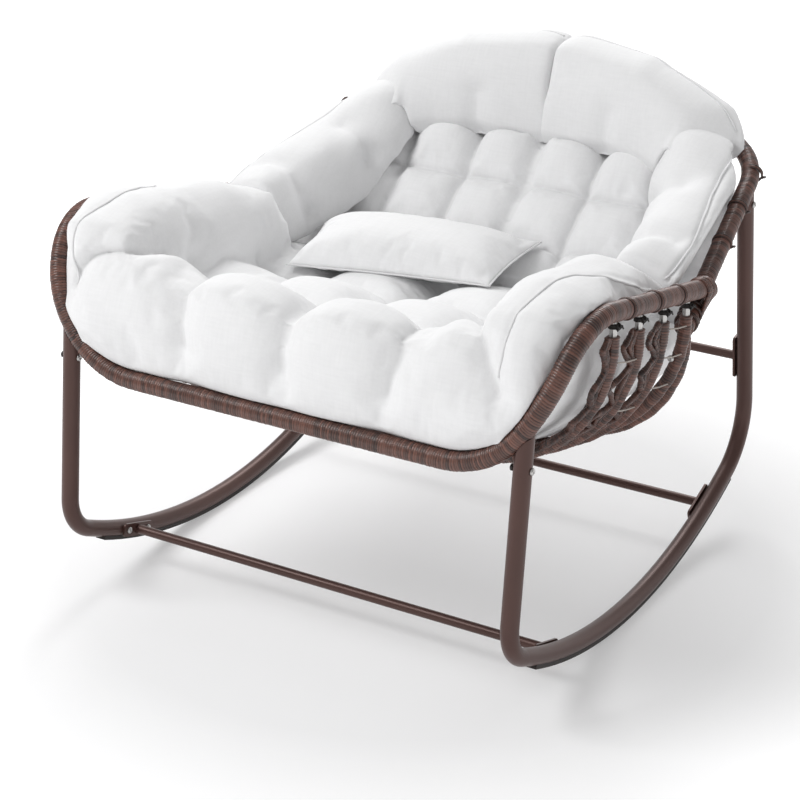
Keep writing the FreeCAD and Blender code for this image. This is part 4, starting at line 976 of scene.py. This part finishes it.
# Piped seams on the right of the cushion, between its inner face and its outer side.
ARM_SEAM = ((377, -436, 586), (381, -430, 610), (389, -416, 648), (393, -380, 678), (402, -324, 693),
            (412, -256, 687), (430, -190, 664), (446, -152, 652), (450, -115, 640), (452, -65, 622),
            (452, -28, 614))
WING_SEAM = ((448, 20, 606), (449, 50, 614), (446, 90, 622), (442, 137, 630), (432, 200, 653),
             (422, 266, 678), (412, 316, 692), (402, 385, 700), (394, 450, 700))
HEAD_SEAM = ((374, 474, 706), (350, 492, 742), (318, 505, 772), (270, 520, 800), (190, 535, 826), (90, 545, 840),
             (8, 545, 844))


LEFT_SEAM_SHIFT = 40


def arm_seam(side):
    """The arm's seam; the loose cushion lies so that its left front seam is further out."""
    further = LEFT_SEAM_SHIFT if side < 0 else 0
    return [(side * (x + further * min(1, max(0, (-300 - y) / 90))), y, z) for x, y, z in ARM_SEAM]


def mesh_points(mesh):
    points = np.empty(len(mesh.vertices) * 3)
    mesh.vertices.foreach_get("co", points)
    return points.reshape(-1, 3)


def mesh_normals(mesh):
    normals = np.empty(len(mesh.vertices) * 3)
    mesh.vertex_normals.foreach_get("vector", normals)
    return normals.reshape(-1, 3)


def set_points(mesh, points):
    mesh.vertices.foreach_set("co", np.ascontiguousarray(points).ravel())
    mesh.update()


def neighbour_mean(points, edges, counts):
    total = np.empty_like(points)
    for axis in range(points.shape[1]):
        total[:, axis] = (np.bincount(edges[:, 0], points[edges[:, 1], axis], len(points))
                          + np.bincount(edges[:, 1], points[edges[:, 0], axis], len(points)))
    return total / counts[:, None]


def mesh_edges(mesh):
    edges = np.empty(len(mesh.edges) * 2, dtype=np.int32)
    mesh.edges.foreach_get("vertices", edges)
    edges = edges.reshape(-1, 2)
    return edges, np.bincount(edges.ravel(), minlength=len(mesh.vertices)).astype(float)


def relaxed(points, edges, counts, rounds):
    """Smooth without losing size: each round shrinks a little and grows back."""
    points = points.copy()
    for _ in range(rounds):
        for share in (0.55, -0.53):
            points += share * (neighbour_mean(points, edges, counts) - points)
    return points


def nearest_on(line, points):
    """Distance of every point from a line of straight runs, and its nearest place there."""
    best, nearest = np.full(len(points), np.inf), np.zeros_like(points)
    for start, end in zip(line, line[1:]):
        run = end - start
        share = np.clip(((points - start) @ run) / (run @ run), 0, 1)
        foot = start + share[:, None] * run
        away = np.linalg.norm(points - foot, axis=1)
        closer = away < best
        best[closer], nearest[closer] = away[closer], foot[closer]
    return best, nearest


def on_surface(tree, path, lift=0.0):
    """A path moved to the nearest places of a surface, raised a little off it."""
    line = []
    for point in path:
        spot, normal, _, _ = tree.find_nearest(Vector(point * MM))
        line.append(np.array(spot) / MM + lift * np.array(normal))
    return np.array(line)


def start_pad(piece, nodes, voxel, rounds):
    """One closed cover over the CAD pads, remeshed to even squares and smoothed."""
    points, faces, count = [], [], 0
    for node in nodes:
        mesh = frame["nodes"][node].data
        lap = 1.5 * MM if len(nodes) > 1 else 0.0
        points.append(mesh_points(mesh) + mesh_normals(mesh) * lap)
        faces += [[index + count for index in face.vertices] for face in mesh.polygons]
        count += len(mesh.vertices)
    mesh = bpy.data.meshes.new(piece)
    mesh.from_pydata(np.concatenate(points).tolist(), [], faces)
    pad = add_object(piece, mesh)
    remesh = pad.modifiers.new("Even squares", "REMESH")
    remesh.mode, remesh.voxel_size = "VOXEL", voxel * MM
    swap_mesh(pad)
    edges, counts = mesh_edges(pad.data)
    points = relaxed(mesh_points(pad.data), edges, counts, rounds)
    free = easy_places(piece, points / MM)
    for _ in range(90):
        points += 0.5 * free[:, None] * (neighbour_mean(points, edges, counts) - points)
    set_points(pad.data, points)
    return pad


def rising(values, start, width):
    """A share that grows from 0 at a start to 1 a width later."""
    return np.clip((values - start) / width, 0, 1)


def easy_places(piece, points):
    """Where a cover hangs loose, so that the edges of the pads under it don't show."""
    side, reach, height = np.abs(points[:, 0]), points[:, 1], points[:, 2]
    if "wing" in piece:
        return 0.2 * rising(-reach, -125, 50)
    if piece != "cushion_seat":
        return np.zeros(len(points))
    outer = rising(side, 385, 40) * rising(height, 455, 40) * rising(-height, -672, 30)
    nose = np.exp(-((side - 300) / 60) ** 2 - ((reach + 420) / 45) ** 2 - ((height - 622) / 35) ** 2)
    end = 0.5 * rising(side, 330, 30) * rising(reach, -110, 60) * rising(height, 560, 30)
    return np.maximum.reduce([outer, nose, end])


def swap_mesh(piece):
    """Apply all modifiers of a piece to its own mesh."""
    graph = bpy.context.evaluated_depsgraph_get()
    mesh = bpy.data.meshes.new_from_object(piece.evaluated_get(graph))
    piece.modifiers.clear()
    old = piece.data
    piece.data = mesh
    bpy.data.meshes.remove(old)


def smooth_normals(mesh, rounds):
    edges, counts = mesh_edges(mesh)
    normals = mesh_normals(mesh)
    for _ in range(rounds):
        normals = unit(0.5 * normals + 0.5 * neighbour_mean(normals, edges, counts))
    return normals


def pulled(points, tree, lines):
    """How far sewn lines pull each point in, and its distance from the sharp ones."""
    pull, near = np.zeros(len(points)), np.full(len(points), np.inf)
    for depth, reach, line in lines:
        away, _ = nearest_on(on_surface(tree, evenly(line, 12.0)), points)
        share = np.clip(away / reach, 0, 1)
        if depth < SOFT_FOLD:
            pull = np.maximum(pull, depth * np.exp(-3 * share ** 2) * (1 - share))
        else:
            pull = np.maximum(pull, depth * (1 - np.sqrt(1 - (1 - share) ** 2)))
            near = np.minimum(near, away)
    return pull, near


def sew_pad(pad):
    """Pull the sewn lines in, so that the cloth between them stands up in tufts. Returns the held share."""
    points = mesh_points(pad.data) / MM
    normals = smooth_normals(pad.data, 6)
    if pad.name == "cushion_back":
        level = points[:, 2] - back_height(points[:, 1])
        top = rising(normals[:, 2], 0.1, 0.3) * rising(level, -12, 8)
        points[:, 2] += (30 - level) * top * rising(-points[:, 1], -475, 30)
        set_points(pad.data, points * MM)
    if "head" in pad.name:
        behind = points[:, 1] - 445
        slant = np.where(behind < 0, 1.0, 0.55) * behind * rising(np.abs(points[:, 0]), 215, 130)
        points[:, 0] += np.sign(points[:, 0]) * slant
        set_points(pad.data, points * MM)
    tree = BVHTree.FromObject(pad, bpy.context.evaluated_depsgraph_get())
    pull, near = pulled(points, tree, creases_of(pad.name))
    for spot, depth, reach in sided(pad.name, TUFTS):
        away = np.linalg.norm(points - on_surface(tree, spot[None])[0], axis=1) / reach
        pull += depth * np.exp(-2.5 * away ** 2)
    points -= normals * pull[:, None]
    for spot, push, reach in sided(pad.name, GRABS):
        away = np.linalg.norm((points - spot) / reach, axis=1)
        points += push * (np.clip(1 - away ** 2, 0, 1) ** 2)[:, None]
    set_points(pad.data, points * MM)
    tree = BVHTree.FromObject(pad, bpy.context.evaluated_depsgraph_get())
    pull, close = pulled(points, tree, seams_of(pad.name))
    near = np.minimum(near, close)
    set_points(pad.data, (points - smooth_normals(pad.data, 6) * pull[:, None]) * MM)
    # Painted shade: a thin dark line along the deep creases and the arm joints, which the fabric finish darkens.
    shade = pad.data.attributes.new("groove", "FLOAT", "POINT")
    shade.data.foreach_set("value", 0.45 * np.exp(-(near / 4.5) ** 2))
    return np.clip(1.6 - near / 9.0, 0, 1)


def sided(piece, rows):
    """Rows that belong to a piece, given for the right side, with their places on the piece's own side."""
    found = []
    for pad, spot, push, reach in rows:
        if not piece.startswith(pad):
            continue
        signs = {"left": (-1,), "right": (1,)}.get(piece.rsplit("_", 1)[1], (-1, 1) if spot[0] else (1,))
        for sign in signs:
            flip = np.array((sign, 1.0, 1.0))
            found.append((spot * flip, push if np.isscalar(push) else push * flip, reach))
    return found


def hold(pad, share):
    group = pad.vertex_groups.new(name="sewn")
    for level in range(1, 11):
        chosen = np.nonzero(np.round(share * 10) == level)[0]
        if len(chosen):
            group.add(chosen.tolist(), level / 10, "REPLACE")


COVER_CLOTH = {
    "quality": 4, "mass": 0.25, "tension_stiffness": 12, "compression_stiffness": 12, "shear_stiffness": 4,
    "bending_stiffness": 0.4, "use_pressure": True,
}


def fill_pad(pad, look):
    """A cloth that the filling presses out, held along its sewn lines."""
    cloth = pad.modifiers.new("Filling", "CLOTH")
    settings = cloth.settings
    for key, value in COVER_CLOTH.items():
        setattr(settings, key, value)
    settings.uniform_pressure_force = look.pressure
    settings.shrink_min = -look.growth
    settings.vertex_group_mass = "sewn"
    settings.effector_weights.gravity = 0
    cloth.collision_settings.use_collision = False
    cloth.collision_settings.use_self_collision = False


def simulate(pads, look):
    """Run all the pads' cloth together, cap how far each point moved and keep the result."""
    scene = bpy.context.scene
    before = {pad: mesh_points(pad.data) for pad in pads}
    for pad in pads:
        fill_pad(pad, look)
    scene.frame_start, scene.frame_end = 1, look.frames
    for step in range(1, look.frames + 1):
        scene.frame_set(step)
    for pad in pads:
        swap_mesh(pad)
        moved = mesh_points(pad.data) - before[pad]
        length = np.linalg.norm(moved, axis=1, keepdims=True)
        moved *= np.minimum(1, look.swell / np.maximum(length, 1e-9))
        set_points(pad.data, before[pad] + moved)
    scene.frame_set(1)


BAR_LINES = {}


def clear_of_bars(pad):
    """Press a pad in where it would go into the rail, the hoop or a bow."""
    if not BAR_LINES:
        BAR_LINES["rail"] = (rail_line(6.0), WRAP_RADIUS)
        BAR_LINES["hoop"] = (hoop_line(6.0), WRAP_RADIUS)
        for name in BOWS:
            BAR_LINES[name] = (bow_line(name, 8.0), BOW_RADIUS)
    points = mesh_points(pad.data) / MM
    for line, radius in BAR_LINES.values():
        low, high = line.min(0) - radius - 3, line.max(0) + radius + 3
        inside = np.nonzero(np.all((points > low) & (points < high), axis=1))[0]
        if not len(inside):
            continue
        chosen = points[inside]
        best, nearest = nearest_on(line, chosen)
        need = np.clip(radius + 1.2 - best, 0, None)
        points[inside] += unit(chosen - nearest + 1e-9) * need[:, None]
    set_points(pad.data, points * MM)


def finish_pad(pad, body, nodes):
    if body == "cushion":
        clear_of_bars(pad)
    pad.data.shade_smooth()
    subdivision = pad.modifiers.new("Soft", "SUBSURF")
    subdivision.levels = subdivision.render_levels = 1
    settle(pad, "fabric", body, nodes)


class CHAIR_OT_cushion(bpy.types.Operator):
    """Sew and fill the pads of the cushion"""
    bl_idname = "chair.cushion"
    bl_label = "Cushion"

    def execute(self, context):
        look = context.scene.chair_cushion
        pads = []
        for piece, nodes, voxel, rounds in PADS:
            pad = start_pad(piece, nodes, voxel, rounds)
            share = sew_pad(pad)
            under = np.clip(-2.5 * mesh_normals(pad.data)[:, 2] - 0.4, 0, 1)
            hold(pad, np.maximum(share, under))
            pads.append(pad)
        pillow = start_pillow()
        hold(pillow, pillow_edge(pillow))
        pads.append(pillow)
        simulate(pads, look)
        for pad, (_, nodes, _, _) in zip(pads, PADS):
            finish_pad(pad, "cushion", nodes)
        place_pillow(pillow)
        finish_pad(pillow, "pillow", ("lumbar_pillow",))
        return {"FINISHED"}


# Lumbar pillow

# Length, depth and the height of the filling over and under the border, then where the pillow lies.
PILLOW = (372.0, 222.0, 50.0, 18.0)
PILLOW_GRID = (64, 38)
PILLOW_PLACE, PILLOW_TURN, PILLOW_TILT = (-96.0, 101.0, 529.0), 14.0, 1.5


def start_pillow():
    """Two faces sewn round a rectangle whose sides pull in between its corners."""
    length, depth, *puffs = PILLOW
    columns, rows = PILLOW_GRID
    points, index, faces = [], {}, []
    for face in (1, -1):
        for column in range(columns + 1):
            for row in range(rows + 1):
                border = column in (0, columns) or row in (0, rows)
                if border and face == -1:
                    continue
                u, v = 2 * column / columns - 1, 2 * row / rows - 1
                pull_u, pull_v = 1 - 0.045 * (1 - v * v), 1 - 0.06 * (1 - u * u)
                puff = ((1 - u ** 4) * (1 - v ** 4)) ** 0.62 * (1 - 0.12 * u * u)
                skew = ((u + 1) / 2) ** 3 * (v + 1) / 2
                index[face, column, row] = len(points)
                points.append(((u * pull_u * length / 2 + 38 * skew) * MM,
                               (v * pull_v * depth / 2 + 6 * skew) * MM,
                               face * puffs[0 if face == 1 else 1] * puff * (1 - 0.35 * skew) * MM))
    for face in (1, -1):
        for column in range(columns):
            for row in range(rows):
                loop = [(column, row), (column + 1, row), (column + 1, row + 1), (column, row + 1)]
                loop = loop if face == 1 else loop[::-1]
                faces.append([index.get((face, *spot), index.get((1, *spot))) for spot in loop])
    mesh = bpy.data.meshes.new("lumbar_pillow_cover")
    mesh.from_pydata(points, [], faces)
    return add_object("cushion_pillow", mesh)


def pillow_edge(pillow):
    """Where the pillow is held: along its sewn border."""
    height = np.abs(mesh_points(pillow.data)[:, 2])
    return (height < 1e-6).astype(float)


def place_pillow(pillow):
    """Lay the pillow on the cushion where its CAD solid lies."""
    turn = (Matrix.Translation(Vector(PILLOW_PLACE) * MM) @ Matrix.Rotation(math.radians(PILLOW_TURN), 4, "Z")
            @ Matrix.Rotation(math.radians(PILLOW_TILT), 4, "X"))
    pillow.data.transform(turn)
    pillow.data.update()


# Piped seams

class CHAIR_OT_piping(bpy.types.Operator):
    """Lay piping along the outer seams of the cushion and round the pillow"""
    bl_idname = "chair.piping"
    bl_label = "Piping"

    def execute(self, context):
        radius = context.scene.chair_cushion.piping / 2 / MM
        pile = Pile()
        for part, seam in (("seat", ARM_SEAM), ("wing", WING_SEAM), ("head", HEAD_SEAM)):
            for name, side in SIDES:
                pad = bpy.data.objects["cushion_seat" if part == "seat" else f"cushion_{part}_{name}"]
                tree = BVHTree.FromObject(pad, context.evaluated_depsgraph_get())
                line = arm_seam(side) if part == "seat" else mirrored(seam) if side < 0 else seam
                path = eased(evenly(smooth_line(np.array(line)), 4.0), 30)
                path = eased(on_surface(tree, path), 40)
                path = eased(on_surface(tree, path, 0.35 * radius), 6)
                lay_cord(pile, evenly(path, 4.0), radius, lay=9.0)
        piping = pile.make("cushion_piping", "fabric", "cushion", "cushion_fabric")
        pile = Pile()
        pillow = bpy.data.objects["cushion_pillow"]
        edge = pillow_border(pillow)
        lay_cord(pile, edge, radius * 0.9, closed=True, lay=9.0)
        trim = pile.make("pillow_piping", "fabric", "pillow", "cushion_fabric")
        return {"FINISHED"}


def eased(path, rounds):
    """A path with its kinks smoothed out between its ends."""
    for _ in range(rounds):
        path[1:-1] = 0.5 * path[1:-1] + 0.25 * (path[:-2] + path[2:])
    return path


def smooth_line(points):
    """A smooth line through points."""
    points = np.vstack([2 * points[0] - points[1], points, 2 * points[-1] - points[-2]])
    line = []
    for index in range(1, len(points) - 2):
        before, start, end, after = points[index - 1:index + 3]
        for share in np.linspace(0, 1, 12, endpoint=False):
            line.append(0.5 * (2 * start + (end - before) * share
                               + (2 * before - 5 * start + 4 * end - after) * share ** 2
                               + (3 * start - before - 3 * end + after) * share ** 3))
    return np.array(line + [points[-2]])


def pillow_border(pillow):
    """The sewn border of the pillow as a closed line in millimetres."""
    columns, rows = PILLOW_GRID
    index = [(column, 0) for column in range(columns)] + [(columns, row) for row in range(rows)]
    index += [(column, rows) for column in range(columns, 0, -1)] + [(0, row) for row in range(rows, 0, -1)]
    points = mesh_points(pillow.data) / MM
    return np.array([points[column * (rows + 1) + row] for column, row in index])


# Stage

# Place, aim and width of each light; its power is set with the stage.
LIGHTS = (("key", (-2.3, -2.3, 4.0), (0, 0, 0.35), 2.2), ("fill", (2.0, -3.4, 1.7), (0, 0, 0.45), 2.6),
          ("rear", (-0.9, 2.8, 3.2), (0, 0.1, 0.5), 2.0))


class CHAIR_OT_stage(bpy.types.Operator):
    """Set the pale floor, the soft lights and the camera"""
    bl_idname = "chair.stage"
    bl_label = "Stage"

    def execute(self, context):
        scene, look = context.scene, context.scene.chair_stage
        self.floor()
        self.sky(scene, look)
        for name, place, aim, width in LIGHTS:
            self.light(name, place, aim, width, getattr(look, name))
        camera = add_object("photo_camera", bpy.data.cameras.new("photo_camera"))
        camera.data.lens, camera.data.sensor_width, camera.data.sensor_fit = look.lens, 36.0, "HORIZONTAL"
        flat = math.cos(look.elevation)
        away = Vector((math.sin(look.azimuth) * flat, -math.cos(look.azimuth) * flat, math.sin(look.elevation)))
        camera.location = Vector(look.aim) + away * look.distance
        camera.rotation_euler = away.to_track_quat("Z", "Y").to_euler()
        scene.camera = camera
        scene.view_settings.view_transform = "Standard"
        return {"FINISHED"}

    def floor(self):
        """A wide floor that curves up into a backdrop far behind."""
        rows = [(-7.0, 0.0), (5.5, 0.0)]
        rows += [(5.5 + 2.0 * math.sin(turn), 2.0 - 2.0 * math.cos(turn)) for turn in np.linspace(0.1, 1.5, 14)]
        rows += [(7.5, 6.0)]
        across = np.linspace(-9, 9, 13)
        points = [(x, y, z - 0.0005) for y, z in rows for x in across]
        count = len(across)
        corners = (0, 1, count + 1, count)
        faces = [[row * count + step + corner for corner in corners]
                 for row in range(len(rows) - 1) for step in range(count - 1)]
        mesh = bpy.data.meshes.new("studio_floor")
        mesh.from_pydata(points, [], faces)
        mesh.shade_smooth()
        floor = add_object("studio_floor", mesh)
        mesh.materials.append(finish_of("floor"))

    def sky(self, scene, look):
        scene.world = scene.world or bpy.data.worlds.new("studio")
        scene.world.use_nodes = True
        background = scene.world.node_tree.nodes["Background"]
        background.inputs["Color"].default_value = (1.0, 1.0, 1.0, 1.0)
        background.inputs["Strength"].default_value = look.sky

    def light(self, name, place, aim, size, power):
        lamp = bpy.data.lights.new(name, "AREA")
        lamp.shape, lamp.size, lamp.energy = "DISK", size, power
        holder = add_object(name, lamp)
        holder.location = place
        holder.rotation_euler = (Vector(place) - Vector(aim)).to_track_quat("Z", "Y").to_euler()


class CHAIR_PT_panel(bpy.types.Panel):
    """Lists the steps that dress the chair"""
    bl_idname = "CHAIR_PT_panel"
    bl_label = "Rattan rocking chair"
    bl_space_type = "VIEW_3D"
    bl_region_type = "UI"
    bl_category = "Chair"

    def draw(self, context):
        for step in STEPS:
            self.layout.operator(step.bl_idname, text=step.bl_label)
        for look in LOOKS:
            settings = getattr(context.scene, look)
            for key in settings.bl_rna.properties.keys():
                if key not in ("rna_type", "name"):
                    self.layout.prop(settings, key)


STEPS = (CHAIR_OT_metal, CHAIR_OT_fasteners, CHAIR_OT_rail_and_hoop, CHAIR_OT_bows, CHAIR_OT_ribs,
         CHAIR_OT_lashings, CHAIR_OT_cushion, CHAIR_OT_piping, CHAIR_OT_stage)
LOOKS = {"chair_wicker": WickerLook, "chair_cushion": CushionLook, "chair_metal": MetalLook,
         "chair_stage": StageLook}
CLASSES = (*LOOKS.values(), *STEPS, CHAIR_PT_panel)


def register():
    for item in CLASSES:
        bpy.utils.register_class(item)
    for key, look in LOOKS.items():
        setattr(bpy.types.Scene, key, PointerProperty(type=look))


def unregister():
    for key in LOOKS:
        delattr(bpy.types.Scene, key)
    for item in reversed(CLASSES):
        bpy.utils.unregister_class(item)


def main():
    register()
    for step in STEPS:
        group, action = step.bl_idname.split(".")
        getattr(getattr(bpy.ops, group), action)()


if __name__ == "__main__":
    main()
